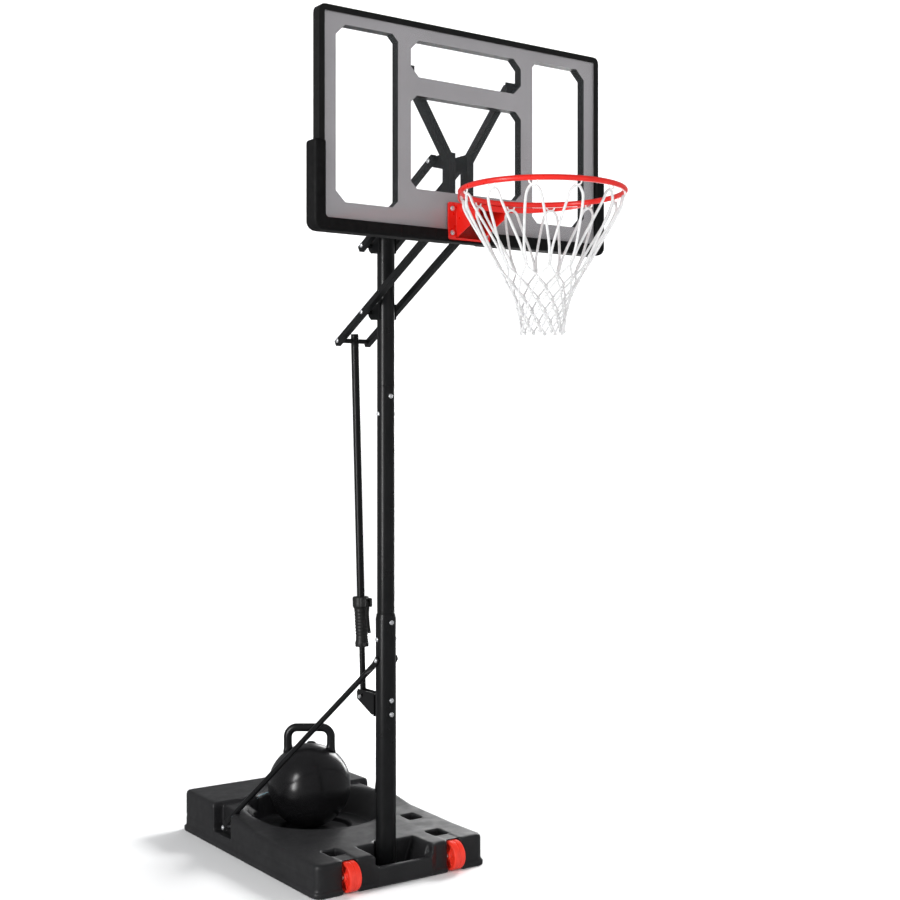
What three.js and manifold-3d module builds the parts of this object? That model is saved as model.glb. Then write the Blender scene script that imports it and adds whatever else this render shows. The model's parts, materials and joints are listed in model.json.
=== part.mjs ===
// A portable basketball hoop: a water-filled base on two wheels, a three-piece pole with two struts, a
// parallelogram of arms that carries the board, a telescopic lift rod with a grip, and a ball-shaped weight.
// Millimetres. +X is to the right of someone who faces the board, +Y is behind the board and +Z is up. The
// origin is on the floor under the pole's axis.
import * as THREE from "three";
import { mergeVertices } from "three/addons/utils/BufferGeometryUtils.js";
import Module from "manifold-3d";

const wasm = await Module();
wasm.setup();

// ---------------------------------------------------------------- driving dimensions

const GAP = 0.3; // between two pieces that touch
const PLAY = 0.3; // round a bolt in its hole
const SIDES = [["left", -1], ["right", 1]];

const POLE = {
  lowerRadius: 35, radius: 30, wall: 2.5, foot: 15, lowerTop: 875, middleStart: 770,
  swage: 1520, upperStart: 1640, top: 2160,
};
const BOLT = { radius: 4, headRadius: 8, headHeight: 5 };
// heights of the bolts through the pole: from the front, and from the left side
const FRONT_BOLTS = { lowerJoint: 848, upperJoint: 1606, bracketHigh: 587, bracketLow: 540 };
const SIDE_BOLTS = { lowerJoint: 790, upperJoint: 1547 };
const PIVOT = { radius: 5, headRadius: 8, headHeight: 5, halfLength: 71 };

const TANK = {
  halfWidth: 335, front: -108, rear: 895, wall: 4, lip: 7, lipHeight: 18, frontTop: 107, rearTop: 150,
};
const SHOULDER = { start: 505, end: 640, top: 138 };
const DISH = {
  y: 470, seatRadius: 118, seat: 43.5, floorRadius: 200, floor: 56, slope: 68 / 48, wallRadius: 225,
};
const POCKET = { halfWidth: 112, floorHalfWidth: 78, front: -97, rear: 8, dip: 66 };
const RECESS = { left: 212, right: 262, front: 172, rear: 236, floor: 74 }; // on the right side only
const WHEEL = { radius: 49.5, width: 44, x: 205, y: -98, z: 52, axleRadius: 5, side: 5 };
const FILL = { y: 790, holeRadius: 24, capRadius: 32 };
const STRUT = {
  radius: 9.5, poleX: 38, poleZ: 720, baseX: 316, baseY: 580, baseZ: 74, tabWide: 12, tabThin: 2,
};

const ARM = { x: 59.5, size: 20, wall: 2, length: 455, rear: 181, angle: 29, overhang: 20 };
const LOWER_PIVOT = { y: 42, z: 1890 };
const UPPER_PIVOT = { y: 42, z: 2114 };

const BOARD = {
  front: -472, halfWidth: 530, bottom: 2085, top: 2722, corner: 22, sheet: 3, face: 1, rear: -436,
};
const TRIM = { thickness: 3.7, lip: 18, proud: 2 };
const PAD = { bottom: 2067, top: 2329, halfWidth: 550, front: -486, rear: -426, lip: 39, sideLip: 512 };
const UPRIGHT = {
  inner: 22, outer: 47, sheet: 3, depth: 36, bottom: 2078, bend: 2352, topX: 205, topZ: 2600,
};
const PLATE = {
  halfWidth: 80, bottom: 2075, top: 2190, thickness: 4, boltX: 64, boltLow: 2096, boltHigh: 2170,
};
const NECK = { halfWidth: 50, sheet: 4, front: -640, open: -597, depth: 26 };
const RING = { y: -837, z: 2177, radius: 228.6, rod: 8, hooks: 12 };
const HOOK = { radius: 10, wire: 2.4, drop: 3 };
const BRACE = { reach: 75, drop: 18, end: 2, thickness: 4.5 };
const NET = { top: 2150, bottom: 1767, cord: 3 };
// the net's radius at each drop below the ring
const NET_CURVE = [[0, 228.6], [180, 152], [310, 77], [410, 63]];

const LIFT_FOOT = { y: 145, z: 575 };
const LIFT_SLOT_END = { y: 128, z: 584 };
const LIFT = {
  tubeRadius: 13.5, tubeBore: 11.6, rodRadius: 10, rodBore: 8, gripTop: -885, gripBottom: -1058,
};
const LIFT_BRACKET = { bottom: 526, top: 600, reach: 164, cheekX: 12.9, sheet: 3, halfWidth: 26 };
const TRIGGER_PIN = { y: -42, z: LIFT.gripTop - 20, radius: 2.5, halfLength: 13.5 };

const ARM_ANGLE = THREE.MathUtils.degToRad(ARM.angle);
const REAR_PIN = {
  y: LOWER_PIVOT.y + ARM.rear * Math.cos(ARM_ANGLE),
  z: LOWER_PIVOT.z - ARM.rear * Math.sin(ARM_ANGLE),
};
const LIFT_LENGTH = Math.hypot(LIFT_FOOT.y - REAR_PIN.y, LIFT_FOOT.z - REAR_PIN.z);
const LIFT_LEAN = Math.atan2(REAR_PIN.y - LIFT_FOOT.y, REAR_PIN.z - LIFT_FOOT.z);

const WEIGHT = { y: 520, z: 193, radius: 151, wall: 4, flat: 149, turn: -35.2 };
const WEIGHT_HANDLE = { halfWidth: 79, top: 211, tube: 15, corner: 34 };
const WEIGHT_CAP = { tilt: 27, radius: 17, hole: 13 };

// ---------------------------------------------------------------- materials

function finish(color, roughness, metalness) {
  return new THREE.MeshStandardMaterial({ color, roughness, metalness });
}

const blackPaint = finish(0x101112, 0.35, 0.4);
const blackPlastic = finish(0x242527, 0.55, 0);
const glossBlack = finish(0x08090a, 0.12, 0);
const greyPrint = finish(0x8f8b8e, 0.3, 0);
const clearSheet = finish(0xf2f6f7, 0.05, 0);
clearSheet.transparent = true;
clearSheet.opacity = 0.15;
const redPaint = finish(0xd8160f, 0.3, 0.1);
const redPlastic = finish(0xe8321f, 0.45, 0);
const padFoam = finish(0x151516, 0.8, 0);
const zinc = finish(0xc9ccd0, 0.25, 0.9);
const whiteCord = finish(0xf4f4f2, 0.8, 0);
const water = finish(0x8fb4c4, 0.1, 0);
const sand = finish(0xc2ad84, 0.9, 0);

// ---------------------------------------------------------------- solids

// A closed three.js geometry as a solid, facing outwards, with its collapsed faces left out.
function solid(geometry) {
  const plain = geometry.index ? geometry.toNonIndexed() : geometry;
  const bare = new THREE.BufferGeometry().setAttribute("position", plain.getAttribute("position"));
  const merged = mergeVertices(bare, 1e-3);
  const corners = merged.index.array;
  const faces = [];
  for (let i = 0; i < corners.length; i += 3) {
    const [a, b, c] = corners.slice(i, i + 3);
    const flat = a === b || b === c || c === a;
    if (!flat) faces.push([a, b, c]);
  }
  const build = (list) =>
    new wasm.Manifold(
      new wasm.Mesh({
        numProp: 3,
        vertProperties: Float32Array.from(merged.attributes.position.array),
        triVerts: Uint32Array.from(list.flat()),
      }),
    );
  const made = build(faces);
  return made.volume() < 0 ? build(faces.map(([a, b, c]) => [a, c, b])) : made;
}

const join = (first, ...others) => others.reduce((sum, next) => sum.add(next), first);
const cut = (first, ...tools) => tools.reduce((rest, tool) => rest.subtract(tool), first);

function box(low, high) {
  const size = high.map((value, i) => value - low[i]);
  const geometry = new THREE.BoxGeometry(...size);
  geometry.translate(...low.map((value, i) => value + size[i] / 2));
  return solid(geometry);
}

// A solid of revolution about the line from start along direction; the profile is [radius, distance] pairs.
function turned(profile, start, direction, facets = 16) {
  const points = profile.map(([r, d]) => new THREE.Vector2(r, d));
  const geometry = new THREE.LatheGeometry(points, facets);
  const turn = new THREE.Quaternion().setFromUnitVectors(
    new THREE.Vector3(0, 1, 0),
    new THREE.Vector3(...direction).normalize(),
  );
  geometry.applyQuaternion(turn);
  geometry.translate(...start);
  return solid(geometry);
}

function rod(from, to, radius, facets = 12) {
  const along = new THREE.Vector3(...to).sub(new THREE.Vector3(...from));
  const length = along.length();
  return turned([[0, 0], [radius, 0], [radius, length], [0, length]], from, along.toArray(), facets);
}

// An outline pushed along one axis. X takes [y, z] pairs, Y takes [x, z] pairs and Z takes [x, y] pairs.
const X_AXIS = new THREE.Vector3(1, 0, 0);
const Y_AXIS = new THREE.Vector3(0, 1, 0);
const Z_AXIS = new THREE.Vector3(0, 0, 1);
const PUSH = {
  X: new THREE.Matrix4().makeBasis(Y_AXIS, Z_AXIS, X_AXIS),
  Y: new THREE.Matrix4().makeBasis(X_AXIS, Z_AXIS, Y_AXIS.clone().negate()),
  Z: new THREE.Matrix4(),
};

function pushed(axis, outline, from, to) {
  const given = outline instanceof THREE.Shape;
  const shape = given ? outline : new THREE.Shape(outline.map(([u, v]) => new THREE.Vector2(u, v)));
  const settings = { depth: to - from, bevelEnabled: false, curveSegments: 4 };
  const geometry = new THREE.ExtrudeGeometry(shape, settings);
  geometry.translate(0, 0, axis === "Y" ? -to : from);
  geometry.applyMatrix4(PUSH[axis]);
  return solid(geometry);
}

// A rectangle from low to high with a corner radius for each of its corners, counted from low left.
function roundedRectangle(low, high, radii) {
  const [r0, r1, r2, r3] = radii;
  const shape = new THREE.Shape();
  shape.moveTo(low[0] + r0, low[1]);
  shape.lineTo(high[0] - r1, low[1]);
  shape.quadraticCurveTo(high[0], low[1], high[0], low[1] + r1);
  shape.lineTo(high[0], high[1] - r2);
  shape.quadraticCurveTo(high[0], high[1], high[0] - r2, high[1]);
  shape.lineTo(low[0] + r3, high[1]);
  shape.quadraticCurveTo(low[0], high[1], low[0], high[1] - r3);
  shape.lineTo(low[0], low[1] + r0);
  shape.quadraticCurveTo(low[0], low[1], low[0] + r0, low[1]);
  return shape;
}

// A closed skin over a row of rings that have the same number of points, with a flat end at each end.
function lofted(rings) {
  const count = rings[0].length;
  const triangles = [];
  const face = (...corners) => triangles.push(...corners.flatMap((corner) => corner.toArray()));
  for (let i = 0; i + 1 < rings.length; i++) {
    for (let j = 0; j < count; j++) {
      const k = (j + 1) % count;
      face(rings[i][j], rings[i][k], rings[i + 1][k]);
      face(rings[i][j], rings[i + 1][k], rings[i + 1][j]);
    }
  }
  const last = rings.length - 1;
  for (let j = 1; j + 1 < count; j++) {
    face(rings[0][0], rings[0][j + 1], rings[0][j]);
    face(rings[last][0], rings[last][j], rings[last][j + 1]);
  }
  const geometry = new THREE.BufferGeometry();
  geometry.setAttribute("position", new THREE.Float32BufferAttribute(triangles, 3));
  return solid(geometry);
}

function piece(parent, name, shape, material) {
  const { vertProperties, triVerts } = shape.getMesh();
  const geometry = new THREE.BufferGeometry();
  geometry.setAttribute("position", new THREE.BufferAttribute(vertProperties, 3));
  geometry.setIndex(new THREE.BufferAttribute(triVerts, 1));
  const mesh = new THREE.Mesh(geometry, material);
  mesh.name = name;
  parent.add(mesh);
}

function group(parent, position = [0, 0, 0]) {
  const made = new THREE.Group();
  made.position.set(...position);
  parent.add(made);
  return made;
}

// A bolt with a domed head at one end and a plain nut at the other.
function bolt(from, to, shank = BOLT.radius) {
  const along = new THREE.Vector3(...to).sub(new THREE.Vector3(...from));
  const length = along.length();
  const { headRadius, headHeight } = BOLT;
  const profile = [
    [0, -headHeight], [headRadius * 0.55, -headHeight * 0.85], [headRadius, 0], [shank, 0],
    [shank, length], [headRadius * 0.85, length], [headRadius * 0.85, length + headHeight],
    [0, length + headHeight],
  ];
  return turned(profile, from, along.toArray(), 10);
}

// A bolt across the linkage, the same at both ends, with a sleeve on each side where one is wanted.
function pivotBolt(y, z, sleeve) {
  const { radius, headRadius, headHeight, halfLength } = PIVOT;
  const half = [[radius, halfLength], [headRadius, halfLength], [headRadius * 0.6, halfLength + headHeight]];
  if (sleeve) {
    half.unshift(
      [radius, sleeve.from], [sleeve.radius, sleeve.from], [sleeve.radius, sleeve.to], [radius, sleeve.to],
    );
  }
  const right = [...half, [0, halfLength + headHeight]];
  const left = right.map(([r, x]) => [r, -x]).reverse();
  return turned([...left, ...right], [0, y, z], [1, 0, 0], 10);
}

// ---------------------------------------------------------------- base tank

// The tank's outer form, or its inner form when inset is the wall's thickness.
function tankForm(inset) {
  const half = TANK.halfWidth - inset;
  const front = TANK.front + inset;
  const rear = TANK.rear - inset;
  const corner = (radius) => Math.max(radius - inset, 4);
  const plan = (lip) =>
    roundedRectangle([-half + lip, front + lip / 2], [half - lip, rear - lip], [46, 46, 40, 40].map(corner));
  const lipPart = pushed("Z", plan(0), inset, TANK.lipHeight - inset);
  const wallPart = pushed("Z", plan(TANK.lip), inset, TANK.rearTop);
  const top = (height) => height - inset;
  const roof = pushed("X", [
    [-200, inset], [1000, inset], [1000, top(TANK.rearTop - 12)], [rear - 14, top(TANK.rearTop)],
    [SHOULDER.end + 10 + inset, top(TANK.rearTop)], [SHOULDER.end + inset, top(TANK.rearTop - 6)],
    [SHOULDER.end + inset, top(SHOULDER.top)], [SHOULDER.start, top(SHOULDER.top)],
    [SHOULDER.start - 60, top(SHOULDER.top - 6)], [SHOULDER.start - 170, top(TANK.frontTop + 8)],
    [60, top(TANK.frontTop)], [-200, top(TANK.frontTop)],
  ], -half, half);
  const nose = pushed("Z", [
    [-165 + inset, TANK.front + 20], [-105 + inset, TANK.front - 14 + inset],
    [105 - inset, TANK.front - 14 + inset], [165 - inset, TANK.front + 20],
  ], 6 + inset, 104 - inset);
  return cut(join(lipPart, wallPart, nose).intersect(roof), ...tankHollows(inset));
}

// Everything moulded into the tank from outside, grown by inset so that the wall keeps its thickness.
function tankHollows(inset) {
  return [...dish(inset), ...polePocket(inset), ...sideHollows(inset)];
}

function dish(inset) {
  const { y, seatRadius, seat, floorRadius, floor, slope, wallRadius } = DISH;
  const high = 300;
  const basin = turned([
    [0, seat - inset], [seatRadius + inset, seat - inset], [seatRadius + 9 + inset, floor - inset],
    [floorRadius + inset, floor - inset], [floorRadius + inset + (high - floor) * slope, high - inset],
    [0, high - inset],
  ], [0, y, 0], [0, 0, 1], 32);
  const ahead = box([-600, -600, -10], [600, SHOULDER.end + inset, 500]);
  const back = rod([0, y, floor - inset], [0, y, high], wallRadius + inset, 32);
  const behind = box([-600, SHOULDER.end - 60, -10], [600, 1200, 500]);
  return [basin.intersect(ahead), back.intersect(behind)];
}

function polePocket(inset) {
  const floor = POLE.foot - inset;
  const wide = POCKET.halfWidth + inset;
  const narrow = POCKET.floorHalfWidth + inset;
  const pocket = pushed("Y", [
    [-narrow, floor], [narrow, floor], [wide, TANK.frontTop], [wide, 200], [-wide, 200],
    [-wide, TANK.frontTop],
  ], POCKET.front - inset, POCKET.rear + inset);
  const round = rod([0, 0, floor], [0, 0, 200], POLE.lowerRadius + 6 + inset, 20);
  const dip = pushed("Y", [
    [-98 - inset, POCKET.dip - inset], [98 + inset, POCKET.dip - inset], [wide, POCKET.dip + 12], [wide, 200],
    [-wide, 200], [-wide, POCKET.dip + 12],
  ], -200, -90);
  return [pocket, round, dip];
}

function sideHollows(inset) {
  const tools = [];
  const innerX = WHEEL.x - WHEEL.width / 2 - WHEEL.side - inset;
  const outerX = WHEEL.x + WHEEL.width / 2 + WHEEL.side + inset;
  const wellRear = WHEEL.y + WHEEL.radius + 6 + inset;
  const span = (side, low, high) => (side < 0 ? [-high, -low] : [low, high]);
  for (const [, side] of SIDES) {
    const [a, b] = span(side, innerX, outerX);
    tools.push(box([a, -300, -10], [b, wellRear, TANK.frontTop - TANK.wall + inset]));
    tools.push(box([a, -34 - inset, 50 - inset], [b, 30 + inset, 300]));
    const [c, d] = span(side, 288 - inset, 400);
    tools.push(box([c, SHOULDER.start - inset, 50 - inset], [d, SHOULDER.end + inset, 300]));
  }
  const { left, right, front, rear, floor } = RECESS;
  tools.push(box([left - inset, front - inset, floor - inset], [right + inset, rear + inset, 300]));
  return tools;
}

// The bosses inside the tank that hold the axles and the strut bolts.
function tankBosses() {
  const bosses = [];
  for (const [, side] of SIDES) {
    for (const x of [-1, 1]) {
      const face = WHEEL.x + x * (WHEEL.width / 2 + WHEEL.side);
      bosses.push(rod([side * face, WHEEL.y, WHEEL.z], [side * (face + x * 18), WHEEL.y, WHEEL.z], 12));
    }
    bosses.push(rod([side * 262, STRUT.baseY, STRUT.baseZ], [side * 290, STRUT.baseY, STRUT.baseZ], 14));
  }
  return bosses;
}

const largest = (shape) => shape.decompose().sort((a, b) => b.volume() - a.volume())[0];

function tank() {
  const cavity = cut(largest(tankForm(TANK.wall)), ...tankBosses());
  let shell = tankForm(0).subtract(cavity);
  for (const [, side] of SIDES) {
    shell = cut(
      shell,
      rod([side * 168, WHEEL.y, WHEEL.z], [side * 242, WHEEL.y, WHEEL.z], WHEEL.axleRadius + PLAY),
      rod([side * 268, STRUT.baseY, STRUT.baseZ], [side * 330, STRUT.baseY, STRUT.baseZ], BOLT.radius + PLAY),
    );
  }
  const collar = rod([0, FILL.y, TANK.rearTop - 2], [0, FILL.y, TANK.rearTop + 6], FILL.capRadius, 20);
  return join(shell, collar).subtract(rod([0, FILL.y, 120], [0, FILL.y, 200], FILL.holeRadius, 20));
}

function tankWater() {
  const gap = TANK.wall + GAP;
  const neck = rod([0, FILL.y, 126], [0, FILL.y, 200], FILL.holeRadius, 20);
  return largest(cut(largest(tankForm(gap)), neck, ...tankBosses()));
}

function fillCap() {
  const { y, holeRadius, capRadius } = FILL;
  const base = TANK.rearTop + 6 + GAP;
  const disc = turned([
    [0, -22], [holeRadius - 1, -22], [holeRadius - 1, 0], [capRadius, 0], [capRadius, 8], [capRadius - 3, 11],
    [0, 11],
  ], [0, y, base], [0, 0, 1]);
  const wing = box([-24, y - 5, base + 8], [24, y + 5, base + 22]);
  return join(disc, wing);
}

// ---------------------------------------------------------------- wheels

function wheel() {
  const { radius, width, axleRadius } = WHEEL;
  const half = width / 2;
  const bore = axleRadius + PLAY;
  return turned([
    [bore, -half], [15, -half], [17, -half + 8], [radius - 12, -half + 8], [radius - 9, -half],
    [radius - 3, -half], [radius, -half + 6], [radius, half - 6], [radius - 3, half], [radius - 9, half],
    [radius - 12, half - 8], [17, half - 8], [15, half], [bore, half], [bore, -half],
  ], [0, 0, 0], [1, 0, 0], 20);
}

// ---------------------------------------------------------------- pole and struts

// A round tube along Z whose outside and bore change at the given heights; rows are [height, outer, bore].
function poleTube(rows) {
  const outside = rows.map(([z, outer]) => [outer, z]);
  const inside = rows.map(([z, , bore]) => [bore, z]).reverse();
  return turned([...outside, ...inside, outside[0]], [0, 0, 0], [0, 0, 1], 18);
}

function poleLower() {
  const { lowerRadius, wall, foot, lowerTop, radius } = POLE;
  const bore = lowerRadius - wall;
  const neck = radius + GAP;
  return poleTube([
    [foot + 4 + GAP, lowerRadius, bore], [lowerTop - 14, lowerRadius, bore],
    [lowerTop - 6, neck + wall, neck], [lowerTop, neck + wall, neck],
  ]);
}

function poleMiddle() {
  const { radius, wall, upperStart, middleStart } = POLE;
  return poleTube([[middleStart, radius, radius - wall], [upperStart, radius, radius - wall]]);
}

function poleUpper() {
  const { radius, wall, swage, upperStart, top } = POLE;
  const plug = radius - wall - GAP;
  return poleTube([
    [swage, plug, plug - wall], [upperStart + GAP, plug, plug - wall],
    [upperStart + GAP + 0.01, radius, plug - wall], [top, radius, plug - wall],
  ]);
}

// The holes for every bolt that goes through the pole.
function poleHoles() {
  const play = BOLT.radius + PLAY;
  const across = (z) => rod([-60, 0, z], [60, 0, z], play, 10);
  const through = (z) => rod([0, -60, z], [0, 60, z], play, 10);
  const sides = [...Object.values(SIDE_BOLTS), STRUT.poleZ];
  return [...Object.values(FRONT_BOLTS).map(through), ...sides.map(across)];
}

function poleCap(z, height, radius, plug) {
  const depth = 18 * Math.sign(height);
  return turned([
    [0, -depth], [plug, -depth], [plug, 0], [radius, 0], [radius, height * 0.5], [radius * 0.86, height],
    [0, height],
  ], [0, 0, z], [0, 0, 1], 18);
}

// A strut: a round tube that is pressed flat at both ends, where a bolt along X holds it.
function strut(side) {
  const { radius, tabWide, tabThin, poleX, poleZ, baseX, baseY, baseZ } = STRUT;
  const foot = new THREE.Vector3(side * baseX, baseY, baseZ);
  const head = new THREE.Vector3(side * poleX, 0, poleZ);
  const tabAlong = new THREE.Vector3(0, head.y - foot.y, head.z - foot.z).normalize();
  const footBend = foot.clone().addScaledVector(tabAlong, 26);
  const headBend = head.clone().addScaledVector(tabAlong, -26);
  const along = headBend.clone().sub(footBend).normalize();
  const ring = (centre, direction, wide, thin) => {
    const wideAxis = new THREE.Vector3(1, 0, 0).cross(direction).normalize();
    const thinAxis = direction.clone().cross(wideAxis).normalize();
    return Array.from({ length: 10 }, (_, i) => {
      const angle = (i / 10) * Math.PI * 2;
      const offset = wideAxis.clone().multiplyScalar(wide * Math.cos(angle));
      return centre.clone().add(offset).addScaledVector(thinAxis, thin * Math.sin(angle));
    });
  };
  const shape = lofted([
    ring(foot.clone().addScaledVector(tabAlong, -13), tabAlong, tabWide * 0.6, tabThin),
    ring(foot.clone().addScaledVector(tabAlong, -8), tabAlong, tabWide, tabThin),
    ring(footBend, tabAlong, tabWide, tabThin),
    ring(footBend.clone().addScaledVector(along, 45), along, radius, radius),
    ring(headBend.clone().addScaledVector(along, -45), along, radius, radius),
    ring(headBend, tabAlong, tabWide, tabThin),
    ring(head.clone().addScaledVector(tabAlong, 8), tabAlong, tabWide, tabThin),
    ring(head.clone().addScaledVector(tabAlong, 13), tabAlong, tabWide * 0.6, tabThin),
  ]);
  const hole = (centre) =>
    rod([centre.x - 20, centre.y, centre.z], [centre.x + 20, centre.y, centre.z], BOLT.radius + PLAY, 10);
  return cut(shape, hole(foot), hole(head));
}

// ---------------------------------------------------------------- pivots behind the pole

// A saddle of sheet steel round the back of the pole, with a hole in each cheek for the pivot bolt.
function pivotBracket(pivot) {
  const inner = POLE.radius + 1;
  const outer = inner + 3.5;
  const back = box([-outer, POLE.radius + GAP, pivot.z - 26], [outer, POLE.radius + GAP + 3, pivot.z + 26]);
  const cheek = (side) => {
    const low = Math.min(side * inner, side * outer);
    return pushed("X", [
      [-12, pivot.z - 26], [40, pivot.z - 26], [56, pivot.z - 12], [56, pivot.z + 12], [40, pivot.z + 26],
      [-12, pivot.z + 26],
    ], low, low + outer - inner);
  };
  const hole = rod([-60, pivot.y, pivot.z], [60, pivot.y, pivot.z], PIVOT.radius + PLAY, 10);
  return cut(join(back, cheek(-1), cheek(1)), hole);
}

// ---------------------------------------------------------------- arms

// A square tube along Y with a hole across it at each given place.
function arm(side, front, rear, holes) {
  const { x, size, wall } = ARM;
  const half = size / 2;
  const centre = side * x;
  const outer = box([centre - half, front, -half], [centre + half, rear, half]);
  const inner = half - wall;
  const bore = box([centre - inner, front - 10, -inner], [centre + inner, rear + 10, inner]);
  const drills = holes.map((y) => rod([centre - 30, y, 0], [centre + 30, y, 0], PIVOT.radius + PLAY, 10));
  return cut(outer, bore, ...drills);
}

// ---------------------------------------------------------------- board

const windowOutline = ([x0, z0], [x1, z1], [a, b, c, d]) => [
  [x0 + a, z0], [x1 - b, z0], [x1, z0 + b], [x1, z1 - c],
  [x1 - c, z1], [x0 + d, z1], [x0, z1 - d], [x0, z0 + a],
];

// The four openings in the frame and the grey face, as solids that cut through both.
function boardWindows(grow = 0) {
  const low = PAD.bottom;
  const cutter = (from, to, chamfers) => {
    const start = [from[0] - grow, low + from[1] - grow];
    const end = [to[0] + grow, low + to[1] + grow];
    return pushed("Y", windowOutline(start, end, chamfers), -500, -400);
  };
  return [
    cutter([-472, 88], [-256, 606], [32, 20, 20, 32]),
    cutter([256, 88], [472, 606], [20, 32, 32, 20]),
    cutter([-210, 490], [210, 601], [29, 29, 29, 29]),
    cutter([-210, 152], [210, 434], [22, 22, 22, 22]),
  ];
}

function boardSlab(inset, front, rear) {
  const half = BOARD.halfWidth - inset;
  const radius = BOARD.corner - inset;
  const low = [-half, BOARD.bottom + inset];
  const high = [half, BOARD.top - inset];
  return pushed("Y", roundedRectangle(low, high, Array(4).fill(radius)), front, rear);
}

const SHEET_REAR = BOARD.front + BOARD.sheet;
const FACE_REAR = SHEET_REAR + GAP + BOARD.face;
const EDGE = TRIM.thickness + GAP;

function boardFrame() {
  const slab = boardSlab(EDGE, FACE_REAR + GAP, BOARD.rear);
  const half = BOARD.halfWidth - EDGE;
  // the back is hollowed between the webs, which stand round the edge and round each window
  const hollow = cut(boardSlab(EDGE + 14, FACE_REAR + 8, BOARD.rear + 5), ...boardWindows(12));
  const panel = box([-120, FACE_REAR + 4, BOARD.bottom - 5], [120, BOARD.rear, PAD.bottom + 145]);
  const low = box([-half, FACE_REAR + GAP, BOARD.bottom + EDGE], [half, FACE_REAR + 4, BOARD.bottom + 40]);
  const inside = boardSlab(EDGE, FACE_REAR + GAP, BOARD.rear);
  return cut(join(cut(slab, hollow), join(panel, low).intersect(inside)), ...boardWindows());
}

function boardTrim() {
  const ring = boardSlab(0, BOARD.front - TRIM.proud, BOARD.rear - 2);
  const seat = boardSlab(TRIM.thickness, BOARD.front - GAP, BOARD.rear + 20);
  const sight = boardSlab(TRIM.lip, BOARD.front - 20, BOARD.rear + 20);
  return cut(ring, seat, sight);
}

function boardPad() {
  const { halfWidth, bottom, top, front, rear, lip, sideLip } = PAD;
  const outline = roundedRectangle([-halfWidth, bottom], [halfWidth, top], [40, 40, 8, 8]);
  const block = pushed("Y", outline, front, rear);
  const slot = boardSlab(-GAP, BOARD.front - TRIM.proud - GAP, BOARD.rear + GAP);
  const window = box([-sideLip, front - 10, bottom + lip], [sideLip, rear + 10, top + 10]);
  const plateHalf = PLATE.halfWidth + 2;
  const plateRoom = box([-plateHalf, front - 10, PLATE.bottom - 2], [plateHalf, plateRear(), top]);
  const bracketHalf = UPRIGHT.outer + 3;
  const bracketRoom = box([-bracketHalf, BOARD.rear - 3, bottom - 10], [bracketHalf, rear + 10, top]);
  return cut(block, slot, window, plateRoom, bracketRoom);
}

const plateRear = () => BOARD.front - TRIM.proud - GAP;
const plateFront = () => plateRear() - PLATE.thickness;

// A sheet steel channel behind the board: ears for the two pivot bolts below, and a bent arm above.
function boardBracket(side, frontPivots) {
  const { inner, outer, sheet, depth, bottom, bend, topX, topZ } = UPRIGHT;
  const front = BOARD.rear + GAP;
  const ear = frontPivots[0].y + 18;
  const outline = [[front, bottom], [front + depth, bottom]];
  for (const { z } of frontPivots) {
    outline.push([front + depth, z - 30], [ear - 8, z - 16], [ear, z - 8]);
    outline.push([ear, z + 8], [ear - 8, z + 16], [front + depth, z + 30]);
  }
  outline[outline.length - 1][1] = bend;
  outline.push([front, bend]);
  const wall = (x) => pushed("X", outline, side * x - sheet / 2, side * x + sheet / 2);
  const web = box(
    [Math.min(side * inner, side * outer), front, bottom],
    [Math.max(side * inner, side * outer), front + sheet, bend],
  );
  const middle = (inner + outer) / 2;
  const half = (outer - inner) / 2;
  const bar = (width, low, high, from, to) => pushed("Y", [
    [side * (middle - width), from], [side * (topX - width), to], [side * (topX + width), to],
    [side * (middle + width), from],
  ], low, high);
  const outside = bar(half, front, front + depth, bend - 24, topZ);
  const hollow = bar(half - sheet, front + sheet, front + depth - sheet, bend - 24, topZ + 1);
  const tab = box([side * topX - 30, front, topZ - 22], [side * topX + 30, front + 4, topZ]);
  const holes = frontPivots.map(({ y, z }) => rod([-100, y, z], [100, y, z], PIVOT.radius + PLAY, 10));
  const channel = join(wall(inner + sheet / 2), wall(outer - sheet / 2), web);
  return cut(join(channel, cut(outside, hollow), tab), ...holes);
}

// ---------------------------------------------------------------- rim and net

const hookAngle = (i) => ((i + 0.5) / RING.hooks) * Math.PI * 2;
const RING_LINE = RING.radius + RING.rod;

// The ring with its hooks: each is a half loop of wire under the ring that the net hangs on.
function rimRing() {
  const torus = new THREE.TorusGeometry(RING_LINE, RING.rod, 8, 44);
  torus.translate(0, RING.y, RING.z);
  const hooks = Array.from({ length: RING.hooks }, (_, i) => hook(hookAngle(i)));
  return join(solid(torus), ...hooks);
}

function hook(angle) {
  const along = new THREE.Vector3(-Math.sin(angle), Math.cos(angle), 0);
  const outward = new THREE.Vector3(Math.cos(angle), Math.sin(angle), 0);
  const centre = new THREE.Vector3(0, RING.y, RING.z - RING.rod).addScaledVector(outward, RING_LINE);
  const down = new THREE.Vector3(0, 0, -1);
  const rings = Array.from({ length: 5 }, (_, i) => {
    const turn = (i / 4) * Math.PI;
    const spoke = along.clone().multiplyScalar(Math.cos(turn)).addScaledVector(down, Math.sin(turn));
    const middle = centre.clone().addScaledVector(spoke, HOOK.radius).addScaledVector(down, -HOOK.drop);
    return Array.from({ length: 4 }, (__, j) => {
      const spin = (j / 4) * Math.PI * 2;
      const point = middle.clone().addScaledVector(spoke, HOOK.wire * Math.cos(spin));
      return point.addScaledVector(outward, HOOK.wire * Math.sin(spin));
    });
  });
  return lofted(rings);
}

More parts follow.
